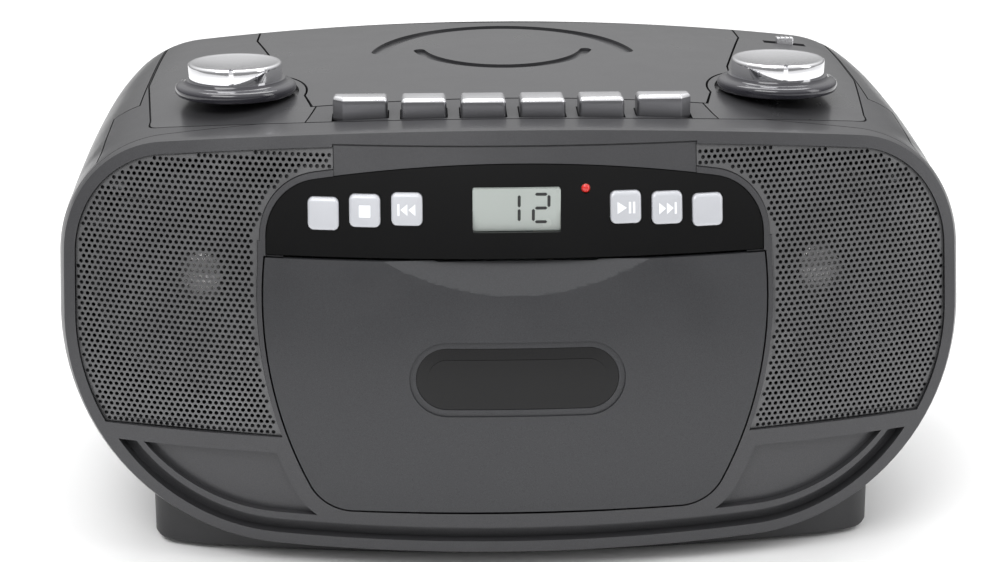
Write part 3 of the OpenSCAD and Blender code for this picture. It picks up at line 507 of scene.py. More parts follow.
M = {
    "cabinet": material("graphite_paint", (0.034, 0.034, 0.0365), 0.38,
                        metal=0.3, coat=0.12, grain=0.10, speck=0.35),
    "lid": material("graphite_lid", (0.036, 0.036, 0.0385), 0.30,
                    metal=0.3, coat=0.22, grain=0.08, speck=0.35),
    "door": material("graphite_door", (0.0255, 0.026, 0.0285), 0.40,
                     metal=0.3, coat=0.1, grain=0.12, speck=0.35),
    "base": material("black_base", (0.017, 0.017, 0.0185), 0.5, grain=0.3),
    "handle": material("graphite_handle", (0.042, 0.042, 0.0445), 0.33,
                       metal=0.4, coat=0.2, grain=0.08, speck=0.35),
    "grille": material("grille_paint", (0.115, 0.115, 0.118), 0.42, metal=0.6, grain=0.15),
    "silver": material("silver_plate", (0.70, 0.70, 0.72), 0.24, metal=0.9, grain=0.10, tint=0.05),
    # painted shade: a darker copy of the silver plate for the keys' front and side faces
    "key_painted_shade": material("key_painted_shade", (0.17, 0.17, 0.18), 0.30, metal=0.85, grain=0.10, tint=0.08),
    "button": material("pearl_plastic", (0.50, 0.51, 0.54), 0.38, metal=0.2, coat=0.3, grain=0.06, tint=0.06),
    "icon": material("white_print", (0.82, 0.83, 0.86), 0.45, tint=0.04),
    "panel": material("black_gloss", (0.0030, 0.0030, 0.0032), 0.10, specular=0.22, tint=0.3),
    "window": material("smoked_plastic", (0.0040, 0.0040, 0.0044), 0.12, specular=0.3, tint=0.25),
    "lcd": material("lcd_glass", (0.34, 0.37, 0.35), 0.25, coat=0.2, tint=0.05),
    "lcd_ink": material("lcd_ink", (0.008, 0.009, 0.009), 0.4),
    "dark": material("dark_plastic", (0.010, 0.010, 0.011), 0.55, grain=0.25),
    "white": material("ivory_plastic", (0.62, 0.61, 0.57), 0.42, grain=0.1),
    "cone": material("cone_paper", (0.014, 0.014, 0.0145), 0.85, grain=0.8, grain_scale=900),
    "dome": material("dome_foil", (0.62, 0.62, 0.62), 0.22, metal=0.9, tint=0.08),
    "board": material("board_lacquer", (0.012, 0.050, 0.020), 0.35, coat=0.3),
    "steel": material("plain_steel", (0.40, 0.41, 0.42), 0.33, metal=1.0, grain=0.1, brushed=(1, 1, 12)),
    "chrome": material("chrome", (0.80, 0.80, 0.82), 0.07, metal=1.0, tint=0.04),
    "skirt": material("smoked_skirt", (0.020, 0.019, 0.026), 0.12, coat=0.5, tint=0.2),
    "brass": material("brass", (0.55, 0.40, 0.16), 0.3, metal=1.0),
    "rubber": material("rubber", (0.010, 0.010, 0.010), 0.8, grain=0.5),
    "lamp": material("red_lens", (0.60, 0.012, 0.008), 0.18, coat=0.6),
}


def turned_metal(mat, x, y):
    """Rings of turning marks about a knob's axis."""
    tree = mat.node_tree
    shader = tree.nodes["Principled BSDF"]
    place = tree.nodes.new("ShaderNodeTexCoord").outputs["Object"]
    shift = tree.nodes.new("ShaderNodeVectorMath")
    shift.operation = "SUBTRACT"
    shift.inputs[1].default_value = (x * MM, y * MM, 0)
    tree.links.new(place, shift.inputs[0])
    flat = tree.nodes.new("ShaderNodeVectorMath")
    flat.operation = "MULTIPLY"
    flat.inputs[1].default_value = (1, 1, 0)
    tree.links.new(shift.outputs["Vector"], flat.inputs[0])
    size = tree.nodes.new("ShaderNodeVectorMath")
    size.operation = "LENGTH"
    tree.links.new(flat.outputs["Vector"], size.inputs[0])
    marks = tree.nodes.new("ShaderNodeTexNoise")
    marks.noise_dimensions = "1D"
    marks.inputs["Scale"].default_value = 2600
    marks.inputs["Detail"].default_value = 3
    tree.links.new(size.outputs["Value"], marks.inputs["W"])
    bump = tree.nodes.new("ShaderNodeBump")
    bump.inputs["Strength"].default_value = 0.22
    bump.inputs["Distance"].default_value = 0.0002
    tree.links.new(marks.outputs["Fac"], bump.inputs["Height"])
    tree.links.new(bump.outputs["Normal"], shader.inputs["Normal"])
    return mat


# ---- finished pieces ----
def piece(obj, name, look, body_name, replaces=(), angle=32.0, weighted=True):
    """Turns a work solid into a named piece in metres, with its shading, finish and body."""
    bm = bmesh.new()
    bm.from_mesh(obj.data)
    bmesh.ops.scale(bm, vec=(MM, MM, MM), verts=bm.verts)
    bmesh.ops.remove_doubles(bm, verts=bm.verts, dist=1.5e-6)
    bmesh.ops.dissolve_degenerate(bm, edges=bm.edges, dist=1e-6)
    bm.to_mesh(obj.data)
    bm.free()
    obj.name = name
    obj.data.name = name
    obj.data.shade_smooth()
    obj.data.set_sharp_from_angle(angle=math.radians(angle))
    if weighted:
        normals = obj.modifiers.new("normals", "WEIGHTED_NORMAL")
        normals.keep_sharp = True
    obj.data.materials.clear()
    obj.data.materials.append(M[look] if isinstance(look, str) else look)
    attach(obj, body_name)
    if replaces:
        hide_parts(*replaces)
    return obj


def bevel(obj, width, segments=3, angle=40.0):
    """Rounds a work solid's sharp edges."""
    bm = bmesh.new()
    bm.from_mesh(obj.data)
    limit = math.radians(angle)
    edges = [e for e in bm.edges if len(e.link_faces) == 2 and e.calc_face_angle(0) > limit]
    bmesh.ops.bevel(bm, geom=edges, offset=width, segments=segments, profile=0.5, affect="EDGES",
                    clamp_overlap=True)
    bm.to_mesh(obj.data)
    bm.free()
    return obj


def lathe(profile, place, n=96):
    """Solid of revolution: place turns (radius, height, angle) into a point."""
    rings = [[place(r, h, 2 * math.pi * k / n) for k in range(n)] for r, h in profile]
    return loft(rings)


def upright(x, y):
    return lambda r, h, a: (x + r * math.cos(a), y + r * math.sin(a), h)


def facing(x, z):
    return lambda r, h, a: (x + r * math.cos(a), h, z + r * math.sin(a))


def door_sweep():
    """What the door's lower edge passes through as it swings about its hinge."""
    rings = []
    for x in np.linspace(-DOOR_SWEEP_HALF_W, DOOR_SWEEP_HALF_W, 49):
        r = math.hypot(face_y(x, DOOR_BOTTOM_Z) - DOOR_HINGE_Y, DOOR_BOTTOM_Z - DOOR_HINGE_Z) + 0.5
        rings.append([(x, y, z) for y, z in arc(DOOR_HINGE_Y, DOOR_HINGE_Z, r, 0, 360, 40, 1)])
    return loft(rings)


def bar_lines(y0, y1):
    """Fine grooves round the grey bar between the grilles' upper ends."""
    x, top, t = GRILLE_TOP_X, 166.3, 0.35
    lines = along_y(rectangle(-x - t, x + t, top - t, top + t), y0, y1)
    for low, high in both_sides(x - t, x + t):
        lines = join(lines, along_y(rectangle(low, high, 157, top), y0 - 0.5, y1 + 0.5))
    return common(lines, face_shell(-2, 1.0))


def front_cabinet():
    shell = common(body(0), face_shell(0, 140), box(-210, 210, -210, PART_Y - SEAM / 2, -5, 210))
    inside = common(body(WALL), face_shell(FACE_WALL, 150))
    backing = join(groove_drawing(2.5, -130, PART_Y), scoop_drawing(2, -130, PART_Y))
    inside = cut(inside, common(backing, face_shell(3, GROOVE_DEPTH + 2.5)))
    shell = cut(shell, inside)
    y0, y1 = -142, PART_Y + 1
    shell = cut(
        shell,
        common(groove_drawing(0, y0, y1), face_shell(-2, GROOVE_DEPTH)),
        common(scoop_drawing(0, y0, y1), face_shell(-2, SCOOP_DEPTH)),
        along_y(door_outline(-0.7), y0, y1),
        door_sweep(),
        along_y(panel_outline(3), y0, y1),
        along_y(rectangle(-DOOR_HALF_W + 8, DOOR_HALF_W - 8, 120.3, 130.3), y0, y1),
        common(along_y(panel_outline(-0.35), y0, y1), face_shell(-2, 2.7)),
        *mirrored(grille_drawing, 3, y0, y1),
        common(grille_drawing(-0.1, y0, y1), face_shell(-2, 2.7)),
        common(flipped(grille_drawing(-0.1, y0, y1)), face_shell(-2, 2.7)),
        along_z(deck_outline(SEAM), 120, 210),
        common(along_y(rectangle(-GRILLE_TOP_X, GRILLE_TOP_X, 150, 166.3), y0, y1), face_shell(-2, 0.55)),
        bar_lines(y0, y1),
    )
    for (low, high), (pin_low, pin_high) in zip(both_sides(39, 43), both_sides(32.4, 41)):
        bracket = box(low, high, DOOR_HINGE_Y, -90, 17.5, 34)
        shell = join(shell, rod_x(DOOR_HINGE_Y, DOOR_HINGE_Z, 2.3, low, high), bracket)
        shell = join(shell, rod_x(DOOR_HINGE_Y, DOOR_HINGE_Z, 1.4, pin_low, pin_high))
    return piece(shell, "front_cabinet_shell", "cabinet", "root", ["front_cabinet"])


SCREWS = [(s * x, z) for s in (-1, 1) for x, z in ((118, 46), (147, 108), (75, 141))]


def rear_cabinet():
    half = box(-210, 210, PART_Y + SEAM / 2, 150, -5, 210)
    shell = common(body(0), half)
    inside = cut(
        body(WALL),
        handle_room(0.3 + WALL),
        box(-BAY_HALF_W - 2, BAY_HALF_W + 2, BAY_Y0 - 2, BACK_Y + 1, BAY_Z0 - 2, BAY_Z1 + 2),
        *[rod_y(x, z, 5.6, 78, BACK_Y + 1) for x, z in SCREWS],
    )
    shell = cut(shell, inside, handle_room(SEAM), along_z(deck_outline(SEAM), 150, 210))
    shell = cut(
        shell,
        box(-BAY_HALF_W, BAY_HALF_W, BAY_Y0, BAY_Y1, BAY_Z0, BAY_Z1),
        box(-BAY_HALF_W, BAY_HALF_W, BAY_Y1 - 1, BACK_Y + 1, 33.8, 91.2),
        box(-137.2, -118.8, 90, BACK_Y + 1, 93.8, 106.2),
        rod_y(133, 126, 3.3, 100, BACK_Y + 1),
    )
    for x, z in SCREWS:
        shell = cut(shell, rod_y(x, z, 3.2, 95, BACK_Y + 1), rod_y(x, z, 1.7, 79, 96))
    return piece(shell, "rear_cabinet_shell", "cabinet", "root", ["rear_cabinet"])


def top_deck():
    deck = common(body(0), along_z(deck_outline(-0.1), 161.5, 210))
    # a hidden flange closes the seam under the skin
    deck = join(deck, common(body(2), along_z(deck_outline(SEAM - 0.05), 161.5, 210)))
    deck = cut(
        deck,
        along_z(lid_outline(0.7), TRAY_Z, 210),
        along_z(strip_outline(0.3), 150, 210),
        rod_z(0, DISC_Y, 61.5, 164.5, 210, 128),
        rod_z(0, DISC_Y, 17.5, 150, 210),
        box(12, 61, DISC_Y - 10, DISC_Y + 10, 150, 210),
        rod_z(KNOB_X, KNOB_Y, 3.3, 150, 210),
        rod_z(-KNOB_X, KNOB_Y, 3.3, 150, 210),
        box(SLOT_X - 9.5, SLOT_X + 9.5, SLOT_Y - 2.6, SLOT_Y + 2.6, 150, 210),
        box(-LID_HALF_W - 0.7, LID_HALF_W + 0.7, LID_HINGE_Y - 7, LID_REAR_Y + 0.5, TRAY_Z - 1, 210),
        # a shallow round seat under each knob
        rod_z(KNOB_X, KNOB_Y, 25.6, 172.9, 210, 128),
        rod_z(-KNOB_X, KNOB_Y, 25.6, 172.9, 210, 128),
    )
    for (low, high), (pin_low, pin_high) in zip(both_sides(72, 75), both_sides(60.5, 75)):
        lug = box(low, high, LID_HINGE_Y - 1.5, LID_HINGE_Y + 1.5, TRAY_Z - 2, LID_HINGE_Z)
        deck = join(deck, lug, rod_x(LID_HINGE_Y, LID_HINGE_Z, 1.3, pin_low, pin_high))
    return piece(deck, "deck_plate", "lid", "root", ["top_deck"])


def ring_groove(cy, r, width, a0, a1, z0, z1):
    """A curved groove with round ends, drawn in plan about the point (0, cy)."""
    c0, s0, c1, s1 = (f(math.radians(a)) for a in (a0, a1) for f in (math.cos, math.sin))
    outer = arc(0, cy, r + width / 2, a0, a1, 72)
    end = arc(r * c1, cy + r * s1, width / 2, a1, a1 + 180, 10, 1)
    inner = arc(0, cy, r - width / 2, a1, a0, 72)
    start = arc(r * c0, cy + r * s0, width / 2, a0 + 180, a0 + 360, 10, 1)
    return along_z(outer + end[:-1] + inner + start[:-1], z0, z1)


def cd_lid():
    lid = common(body(0), along_z(lid_outline(-0.2), 170, 210))
    rear = join(box(-150, 150, -60, LID_HINGE_Y, 160, 212),
                rod_x(LID_HINGE_Y, LID_HINGE_Z, LID_REAR_Y - LID_HINGE_Y, -150, 150))
    lid = common(lid, rear)
    ahead = box(-150, 150, -60, LID_HINGE_Y - 8, 160, 212)
    under = common(body(2.2), along_z(lid_outline(-3), 160, 210), ahead)
    lid = cut(lid, cut(under, rod_z(0, DISC_Y, 16, 150, 212)))
    # two broad grooves round the disc: a long one behind, a shorter one in front
    band = cut(body(-1), body(1.3))
    behind = ring_groove(DISC_Y, 55, 7, 14, 166, 160, 212)
    front = ring_groove(37.8, 37.3, 5, 195, 345, 160, 212)
    lid = cut(lid, common(band, join(behind, front)))
    lid = cut(
        lid,
        box(-150, 150, LID_HINGE_Y - 6, 100, 160, LID_HINGE_Z - 2.6),
        rod_z(0, DISC_Y, 13.5, 169, 174.4),
        rod_z(0, DISC_Y, 3.05, 174, 177.4),
    )
    for (low, high), (pin_low, pin_high) in zip(both_sides(71.6, 75.4), both_sides(60, 72)):
        lid = cut(lid, box(low, high, LID_HINGE_Y - 4.5, 100, 160, LID_HINGE_Z + 1.75))
        lid = cut(lid, rod_x(LID_HINGE_Y, LID_HINGE_Z, 1.4, pin_low, pin_high))
    return piece(lid, "disc_lid", "lid", "cd_lid", ["cd_lid"])


def handle():
    bar = join(grip_prism(0), *mirrored(arm_prism, 0, ARM_X, 202), *mirrored(step_prism, 0))
    bar = common(bar, body(0))
    for low, high in both_sides(163, 171.5):
        bar = cut(bar, rod_x(PIVOT_Y, PIVOT_Z, 4.1, low, high))
    return piece(bar, "carrying_handle", "handle", "handle", ["handle"])


def door_scoop():
    """What the finger scoop takes from the door: deepest at the top, feathering out at an arc."""
    centre_z, r, depth, run = DOOR_TOP_Z + 94.1, 107.0, 4.4, 13.0
    xs, zs = np.linspace(-62, 62, 63), np.linspace(104, 132, 29)
    front = [(x, -150.0, z) for z in zs for x in xs]
    back = []
    for z in zs:
        for x in xs:
            share = (r - math.hypot(x, z - centre_z)) / run
            back.append((x, face_y(x, z) + depth * min(share, 1.35), z))
    n, m = len(xs), len(zs)
    faces = []
    for j in range(m - 1):
        for i in range(n - 1):
            a = j * n + i
            quad = [a, a + 1, a + n + 1, a + n]
            faces += [quad, [q + n * m for q in reversed(quad)]]
    rim = list(range(n)) + [j * n + n - 1 for j in range(1, m)]
    rim += [(m - 1) * n + i for i in range(n - 2, -1, -1)] + [j * n for j in range(m - 2, 0, -1)]
    for a, b in zip(rim, rim[1:] + rim[:1]):
        faces.append([a, b, b + n * m, a + n * m])
    return solid(front + back, faces)


WINDOW_Z, WINDOW_W, WINDOW_H = 79.6, 78.0, 24.0


def window_outline(out):
    """The door window's outline with round ends, moved outwards by half of out."""
    high = WINDOW_H + out
    return rounded(0, WINDOW_Z, WINDOW_W + out, high, high / 2 - 0.01, 16)


def cassette_door():
    y0, y1 = -135, -70
    door = common(along_y(door_outline(0), y0, y1), face_shell(0, DOOR_T))
    behind_scoop = rod_y(0, DOOR_TOP_Z + 92, 107, y0, y1, 160)
    pad = common(along_y(door_outline(0.6), y0, y1), face_shell(1.5, 6.9), behind_scoop)
    door = cut(join(door, pad), door_scoop())
    # sunk rim of the window, then the window's opening
    rim = common(along_y(window_outline(5), y0, y1), face_shell(-2, 0.9))
    opening = along_y(window_outline(0), y0, y1)
    door = cut(door, rim, opening)
    for low, high in both_sides(32.5, 38.5):
        lug = join(
            rod_x(DOOR_HINGE_Y, DOOR_HINGE_Z, 3, low, high),
            box(low, high, DOOR_HINGE_Y - 4.5, DOOR_HINGE_Y, DOOR_HINGE_Z - 1, DOOR_HINGE_Z + 8),
        )
        door = join(door, cut(lug, rod_x(DOOR_HINGE_Y, DOOR_HINGE_Z, 1.5, low - 1, high + 1)))
    return piece(door, "door_skin", "door", "door", ["cassette_door"])


def door_window():
    y0, y1 = -135, -70
    pane = common(along_y(window_outline(-0.3), y0, y1), face_shell(1.2, 2.5))
    # a raised inner field, as on a moulded pane
    field = common(along_y(window_outline(-9), y0, y1), face_shell(0.85, 2.0))
    return piece(join(pane, field), "door_pane", "window", "door", ["door_window"])


BUTTONS = [("program", -73.4, 141.4), ("stop", -57.6, 142.8), ("back", -41.6, 143.6),
           ("play", 41.6, 143.6), ("next", 57.6, 142.8), ("mode", 73.4, 141.4)]
BUTTON_SIZE = 11.9
LCD_Z, LCD_W, LCD_H = 143.2, 33.4, 16.4
LAMP_X, LAMP_Z = 26.4, 150.6


def display_panel():
    y0, y1 = -130, -60
    panel = common(along_y(panel_outline(0), y0, y1), face_shell(0.7, 2.6))
    size = BUTTON_SIZE + 0.5
    panel = cut(panel, *[along_y(rounded(x, z, size, size, 2.2), y0, y1) for _, x, z in BUTTONS])
    panel = cut(
        panel,
        along_y(rounded(0, LCD_Z, LCD_W + 0.2, LCD_H + 0.2, 0.9), y0, y1),
        rod_y(LAMP_X, LAMP_Z, 1.9, y0, y1),
    )
    return piece(panel, "black_panel", "panel", "root", ["display_panel"])


def triangle(cx, cz, w, h, s):
    return [(cx - s * w / 2, cz + h / 2), (cx - s * w / 2, cz - h / 2), (cx + s * w / 2, cz)]


def icon_outlines(kind, x, z):
    """Generic transport signs, within a 7 mm square."""
    if kind == "stop":
        return [rounded(x, z, 4.4, 4.4, 0.3, 2)]
    if kind == "play":
        bars = [rectangle(x + d - 0.45, x + d + 0.45, z - 2.1, z + 2.1) for d in (1.5, 3.1)]
        return bars + [triangle(x - 1.5, z, 3.6, 4.4, 1)]
    if kind in ("back", "next"):
        s = -1 if kind == "back" else 1
        bar = rectangle(x + s * 3.2 - 0.4, x + s * 3.2 + 0.4, z - 2.1, z + 2.1)
        return [triangle(x - s * 1.9, z, 2.6, 4.2, s), triangle(x + s * 1.1, z, 2.6, 4.2, s), bar]
    return []


def button(kind, x, z):
    front = face_y(x, z) - 1.1
    slope_x = (face_y(x + 3, z) - face_y(x - 3, z)) / 6
    slope_z = (face_y(x, z + 3) - face_y(x, z - 3)) / 6

    def at(px, pz, depth):
        return front + depth + slope_x * (px - x) + slope_z * (pz - z)

    rings = []
    for inset, depth in ((1.3, 0), (0.75, 0.08), (0.3, 0.35), (0.05, 0.8), (0, 1.4), (0, 5.4)):
        side = BUTTON_SIZE - 2 * inset
        plan = rounded(x, z, side, side, max(2.2 - inset, 0.9))
        rings.append([(px, at(px, pz, depth), pz) for px, pz in plan])
    name = f"{kind}_button"
    cap = join(loft(rings), rod_y(x, z, 2, front + 4.6, -86))
    piece(cap, f"{kind}_button_cap", "button", name, [name], weighted=False)
    for k, points in enumerate(icon_outlines(kind, x, z)):
        ring = [[(px, at(px, pz, d), pz) for px, pz in points] for d in (-0.16, 0.1)]
        piece(loft(ring), f"{kind}_button_sign_{k + 1}", "icon", name, weighted=False)


SEGMENTS = {"1": "bc", "2": "abged"}


def lcd():
    """The liquid crystal cell behind its window, with seven-segment figures."""
    front = -97.2
    cell = join(
        along_y(rounded(0, LCD_Z, LCD_W, LCD_H, 0.8), front, -91),
        along_y(rounded(0, LCD_Z, LCD_W + 4, 20, 1), -91.4, -88),
    )
    piece(cell, "lcd_cell", "lcd", "root", ["lcd_module"])
    w, h, t = 5.9, 10.8, 1.15
    number = 0
    for digit, x in (("1", -2.0), ("2", 9.3)):
        for segment in SEGMENTS[digit]:
            across = {"a": h, "g": h / 2, "d": 0}.get(segment)
            z0 = LCD_Z + 0.6 - h / 2
            if across is not None:
                points = [(x - w / 2 + t, z0 + across - t / 2), (x + w / 2 - t, z0 + across - t / 2),
                          (x + w / 2 - t * 0.5, z0 + across), (x + w / 2 - t, z0 + across + t / 2),
                          (x - w / 2 + t, z0 + across + t / 2), (x - w / 2 + t * 0.5, z0 + across)]
            else:
                px = x + w / 2 if segment in "bc" else x - w / 2
                low = z0 if segment in "ce" else z0 + h / 2
                points = [(px - t / 2, low + t * 0.7), (px, low + t * 0.25), (px + t / 2, low + t * 0.7),
                          (px + t / 2, low + h / 2 - t * 0.7), (px, low + h / 2 - t * 0.25),
                          (px - t / 2, low + h / 2 - t * 0.7)]
            number += 1
            bar = along_y(points, front - 0.06, front + 0.02)
            piece(bar, f"lcd_segment_{number}", "lcd_ink", "root", weighted=False)


def lamp():
    y = face_y(LAMP_X, LAMP_Z) + 0.7
    profile = [(0.05, y - 0.75), (0.7, y - 0.65), (1.25, y - 0.35),
               (1.7, y + 0.2), (1.85, y + 0.8), (1.85, y + 8)]
    lens = lathe(profile, facing(LAMP_X, LAMP_Z), 32)
    piece(lens, "signal_lamp", "lamp", "root", weighted=False)


def grille(side):
    """Sheet with round holes in staggered rows, bent over the bulged front."""
    sheet = grille_drawing(0.15, 0, 1.0)
    row_step = HOLE_PITCH * math.sqrt(3) / 2
    holes = []
    edge_test = [outline(RIM_W + 1.15), door_outline(-BAND_W - 1.15), panel_outline(-BAND_W - 1.15)]
    rows = int((EDGE_Z - GRILLE_BOTTOM_Z) / row_step)
    for j in range(rows + 1):
        z = GRILLE_BOTTOM_Z + 1.5 + j * row_step
        for i in range(50):
            x = GRILLE_TOP_X + 1.5 + (i + 0.5 * (j % 2)) * HOLE_PITCH
            if not inside(x, z, edge_test[0]) or inside(x, z, edge_test[1]) or inside(x, z, edge_test[2]):
                continue
            if 118 < z < 132 and x < DOOR_HALF_W + BAND_W + 1.2:
                continue
            holes.append((x, z))
    points, faces = [], []
    sides = 10
    for x, z in holes:
        first = len(points)
        for y in (-1.0, 2.0):
            points += [(px, y, pz) for px, pz in arc(x, z, HOLE_R, 0, 360, sides, 1)]
        faces.append([first + k for k in range(sides)])
        faces.append([first + sides + k for k in reversed(range(sides))])
        for k in range(sides):
            q = (k + 1) % sides
            faces.append([first + k, first + sides + k, first + sides + q, first + q])
    sheet = cut(sheet, solid(points, faces))
    for v in sheet.data.vertices:
        v.co.y = face_y(v.co.x, v.co.z) + 1.2 + v.co.y
        v.co.x *= side
    if side < 0:
        sheet.data.flip_normals()
    name = "right" if side > 0 else "left"
    piece(sheet, f"{name}_grille_sheet", "grille", "root", [f"{name}_grille"], weighted=False)


def inside(x, z, points):
    hit = False
    for (x0, z0), (x1, z1) in zip(points, points[1:] + points[:1]):
        if (z0 > z) != (z1 > z) and x < (x1 - x0) * (z - z0) / (z1 - z0) + x0:
            hit = not hit
    return hit


def cone(side):
    x, z = side * SPEAKER_X, SPEAKER_Z
    name = "right" if side > 0 else "left"
    profile = [(0.05, -61.5), (11, -61.4), (13, -59.9), (22, -62.7), (34.4, -68.6),
               (40, -68.6), (40, -70.9), (38, -71.3), (35.6, -72.6), (33.4, -71.2),
               (32, -69.9), (22, -65.5), (12.6, -62.6), (12.0, -63.0), (0.05, -63.0)]
    paper = lathe(profile, facing(x, z), 96)
    piece(paper, f"{name}_cone_paper", "cone", "root", [f"{name}_cone"], angle=50)
    dome = [(0.05, -62.2), (12.2, -62.0), (12.2, -63.6)]
    dome += [(12.2 * math.cos(a), -63.6 - 6.2 * math.sin(a)) for a in np.linspace(0.1, 1.55, 12)]
    piece(lathe(dome, facing(x, z), 64), f"{name}_dust_dome", "dome", "root", angle=50)


KEYS = ["record_key", "play_key", "rewind_key", "forward_key", "stop_eject_key", "pause_key"]


def key(i):
    low, high = corners(KEYS[i])
    x0, x1, y0, y1, top = low.x, high.x, low.y, high.y, high.z
    chamfer = 4.0
    left, right = (chamfer if i == 0 else 0.9), (chamfer if i == 5 else 0.9)
    # the plan at the foot, then slightly drawn in and rounded at the top
    plan = [(x0 + left, y0), (x1 - right, y0), (x1, y0 + right), (x1, y1), (x0, y1), (x0, y0 + left)]
    plan = round_corners(plan, 0.9, 4)
    cx, cy = (x0 + x1) / 2, (y0 + y1) / 2
    rings = []
    levels = [(0.0, EDGE_Z - 1.5), (0.0, top - 3.0), (0.12, top - 1.4),
              (0.45, top - 0.55), (1.0, top - 0.12), (1.7, top)]
    for inset, z in levels:
        kx, ky = 1 - inset / (x1 - x0) * 2, 1 - inset / (y1 - y0) * 2
        rings.append([(cx + (x - cx) * kx, cy + (y - cy) * ky, z) for x, y in plan])
    cap = join(loft(rings), box(cx - 5, cx + 5, -64, -61, 154, EDGE_Z - 1))
    cap = piece(cap, f"{KEYS[i]}_cap", "silver", KEYS[i], [KEYS[i]], angle=50, weighted=False)
    # faces that do not point upwards get the darker grey, as painted shade on the silver keys
    cap.data.materials.append(M["key_painted_shade"])
    for face in cap.data.polygons:
        face.material_index = 1 if face.normal.z < 0.2 else 0


def key_strip():
    strip = common(cut(body(0), body(WALL)), along_z(strip_outline(-0.35), 150, 210))
    slots = []
    for name in KEYS:
        low, high = corners(name)
        slots.append(box(low.x - 0.5, high.x + 0.5, low.y - 0.5, high.y + 0.4, 150, 210))
    strip = cut(strip, *slots)
    spans = [corners(name) for name in KEYS]
    for (_, left), (right, _) in zip(spans, spans[1:]):
        x = (left.x + right.x) / 2
        strip = join(strip, common(box(x - 0.8, x + 0.8, -64.6, -55, 163, 175), body(1)))
    piece(strip, "key_surround", "cabinet", "root", ["key_strip"])


def knob(name, x):
    top = corners(name)[1].z
    y = KNOB_Y
    cap_z = 179.5
    side = [(18.2, cap_z - 0.4), (18.9, cap_z), (19.0, cap_z + 0.4), (19.0, top - 1.1),
            (18.85, top - 0.5), (18.4, top - 0.1), (17.7, top), (17.0, top - 0.12)]
    hollow = [(17.0 * t, top - 0.12 - 1.0 * (1 - t * t)) for t in (0.85, 0.65, 0.45, 0.25, 0.1, 0.003)]
    cap = lathe([(0.05, cap_z - 0.4)] + side + hollow, upright(x, y), 128)
    # a grip notch that marks where the knob points
    cap = cut(cap, bevel(box(x - 0.9, x + 0.9, y - 20, y - 12.4, top - 1.6, top + 1), 0.3, 2))
    finish = turned_metal(material(f"{name}_metal", (0.80, 0.80, 0.82), 0.20, metal=1.0, tint=0.04), x, y)
    cap = piece(cap, f"{name}_cap", finish, name, [name], angle=38, weighted=False)
    cap.data.materials.append(M["chrome"])
    for face in cap.data.polygons:
        face.material_index = 1 if face.normal.z < 0.75 else 0
    skirt = [(0.05, 173.5), (22.6, 173.5), (23.9, 174.0), (24.5, 175.0), (24.5, 176.6),
             (24.1, 177.5), (23.2, 178.1), (21.6, 178.4), (20.7, 178.9), (20.2, 179.9),
             (18.9, 180.1), (0.05, 180.1)]
    ring = join(lathe(skirt, upright(x, y), 128), rod_z(x, y, 3, 158, 174, 32))
    piece(ring, f"{name}_skirt", "skirt", name, angle=38, weighted=False)


def slider():
    low, high = corners("function_slider")
    cx, cy = (low.x + high.x) / 2, (low.y + high.y) / 2
    tab = bevel(box(cx - 3.8, cx + 3.8, cy - 2.3, cy + 2.3, 170, high.z), 0.5, 3)
    plate = box(cx - 12, cx + 12, cy - 5, cy + 5, 166.5, 168.5)
    tab = join(tab, plate, box(cx - 2, cx + 2, cy - 2, cy + 2, 168.4, 170.4))
    for k in (-2, 0, 2):
        tab = cut(tab, box(cx + k - 0.35, cx + k + 0.35, cy - 3, cy + 3, high.z - 0.5, high.z + 1))
    piece(tab, "function_slider_tab", "silver", "function_slider", ["function_slider"], angle=40)


def base():
    points = []
    for x in np.linspace(-137, 137, 29):
        points.append((x, -100 + 616 - math.sqrt(616**2 - x * x)))
    right = arc(132, 72, 14, 0, 90, 10)
    left = arc(-132, 72, 14, 90, 180, 10)
    front_right = arc(133, points[-1][1] + 13.6, 13, -72, 0, 8)
    front_left = [(-x, y) for x, y in reversed(front_right)]
    plan = points[1:-1] + front_right + right + left + front_left
    rings = []
    for inset, z in ((1.6, 2.0), (0.6, 2.5), (0.0, 4.0), (0.3, 27.0)):
        rings.append([(x * (1 - inset / 146), y * (1 - inset / 95), z) for x, y in plan])
    foot = cut(loft(rings), body(-0.15))
    piece(foot, "plinth", "base", "root", ["base_plinth"])


front_cabinet()
rear_cabinet()
top_deck()
cd_lid()
handle()
cassette_door()
door_window()
display_panel()
lcd()
lamp()
for kind, x, z in BUTTONS:
    button(kind, x, z)
for side in (-1, 1):
    grille(side)
    cone(side)
for i in range(6):
    key(i)
key_strip()
knob("volume_knob", -KNOB_X)
knob("tuning_knob", KNOB_X)
slider()
base()

# ---- finishes of the CAD pieces that stay ----
KEPT = {
    "dark": ["cassette_holder", "battery_door", "ac_inlet", "left_speaker", "right_speaker"],
    "steel": ["cassette_chassis", "head_bridge", "cassette_motor", "handle_pivots", "antenna_base",
              "cd_mechanism", "case_screws"],
    "chrome": ["antenna_tube", "antenna_tip"],
    "brass": ["motor_pulley", "capstan_flywheel", "battery_contacts"],
    "white": ["supply_spindle", "takeup_spindle", "cd_clamp", "cd_spindle", "tuning_capacitor"],
    "rubber": ["rubber_feet", "pinch_roller", "drive_belt"],
    "board": ["button_board", "main_board"],
    "window": ["laser_sled", "volume_pot"],
    "base": ["transformer"],
}
for look, names in KEPT.items():
    for name in names:
        mesh = nodes[name].data
        mesh.materials.clear()
        mesh.materials.append(M[look])

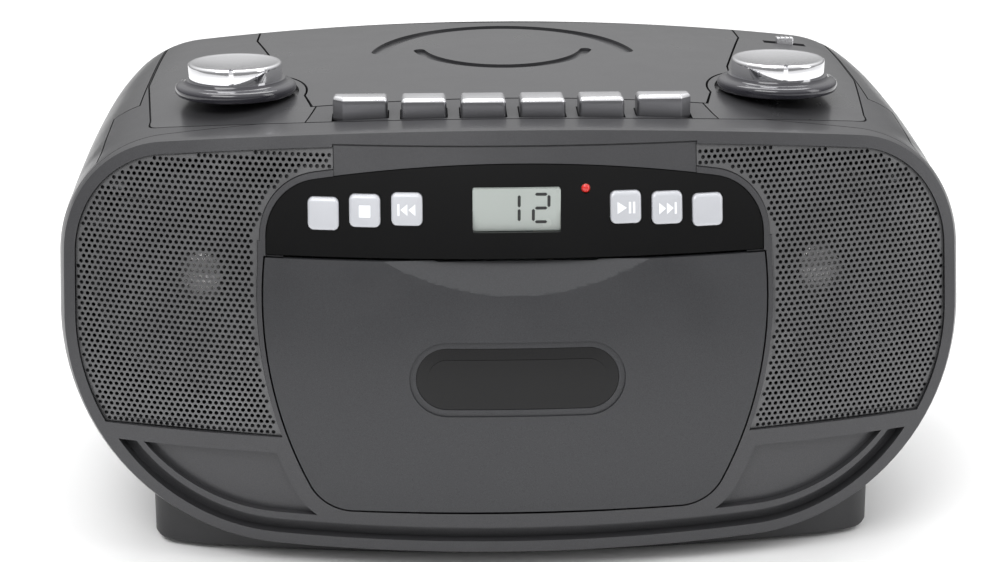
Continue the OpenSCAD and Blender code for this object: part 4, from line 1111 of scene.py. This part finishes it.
# ---- floor, light and camera ----
floor_mesh = bpy.data.meshes.new("floor")
floor_mesh.from_pydata([(-4, -4, 0), (4, -4, 0), (4, 4, 0), (-4, 4, 0)], [], [(0, 1, 2, 3)])
floor = bpy.data.objects.new("floor", floor_mesh)
scene.collection.objects.link(floor)
floor_look = material("floor_paint", (0.86, 0.86, 0.86), 0.7, tint=0.01)
floor_mesh.materials.append(floor_look)

world = bpy.data.worlds.new("studio")
scene.world = world
world.use_nodes = True
# bright overhead, dim towards the horizon
sky = world.node_tree
heading = sky.nodes.new("ShaderNodeTexCoord").outputs["Generated"]
parts = sky.nodes.new("ShaderNodeSeparateXYZ")
sky.links.new(heading, parts.inputs["Vector"])
height = sky.nodes.new("ShaderNodeMapRange")
height.inputs["From Min"].default_value = 0.05
height.inputs["From Max"].default_value = 0.75
height.inputs["To Min"].default_value = 0.30
height.inputs["To Max"].default_value = 1.25
sky.links.new(parts.outputs["Z"], height.inputs["Value"])
sky.links.new(height.outputs["Result"], sky.nodes["Background"].inputs["Strength"])
sky.nodes["Background"].inputs["Color"].default_value = (1, 1, 1, 1)
scene.view_settings.view_transform = "Standard"


def softbox(name, place, aim, size, power):
    light = bpy.data.lights.new(name, "AREA")
    light.shape, light.size, light.size_y, light.energy = "RECTANGLE", size[0], size[1], power
    obj = bpy.data.objects.new(name, light)
    obj.location = place
    direction = np.array(aim, float) - np.array(place, float)
    pitch = math.atan2(math.hypot(direction[0], direction[1]), -direction[2])
    obj.rotation_euler = (pitch, 0, math.atan2(-direction[0], direction[1]))
    scene.collection.objects.link(obj)


softbox("key_light", (-0.6, -1.0, 1.4), (0, 0, 0.1), (1.1, 0.7), 12)
softbox("top_light", (0.0, 0.45, 1.5), (0, 0, 0.1), (1.6, 0.6), 14)
softbox("side_light", (1.3, -0.5, 0.7), (0, 0, 0.1), (0.5, 1.0), 4)

camera_data = bpy.data.cameras.new("camera")
camera_data.lens = 72
camera_data.sensor_width = 36
camera = bpy.data.objects.new("camera", camera_data)
camera.location = (-0.0367, -0.8286, 0.343)
camera.rotation_euler = (math.radians(90 - 17.3), 0, math.radians(-2.378))
scene.collection.objects.link(camera)
scene.camera = camera

bpy.context.view_layer.update()
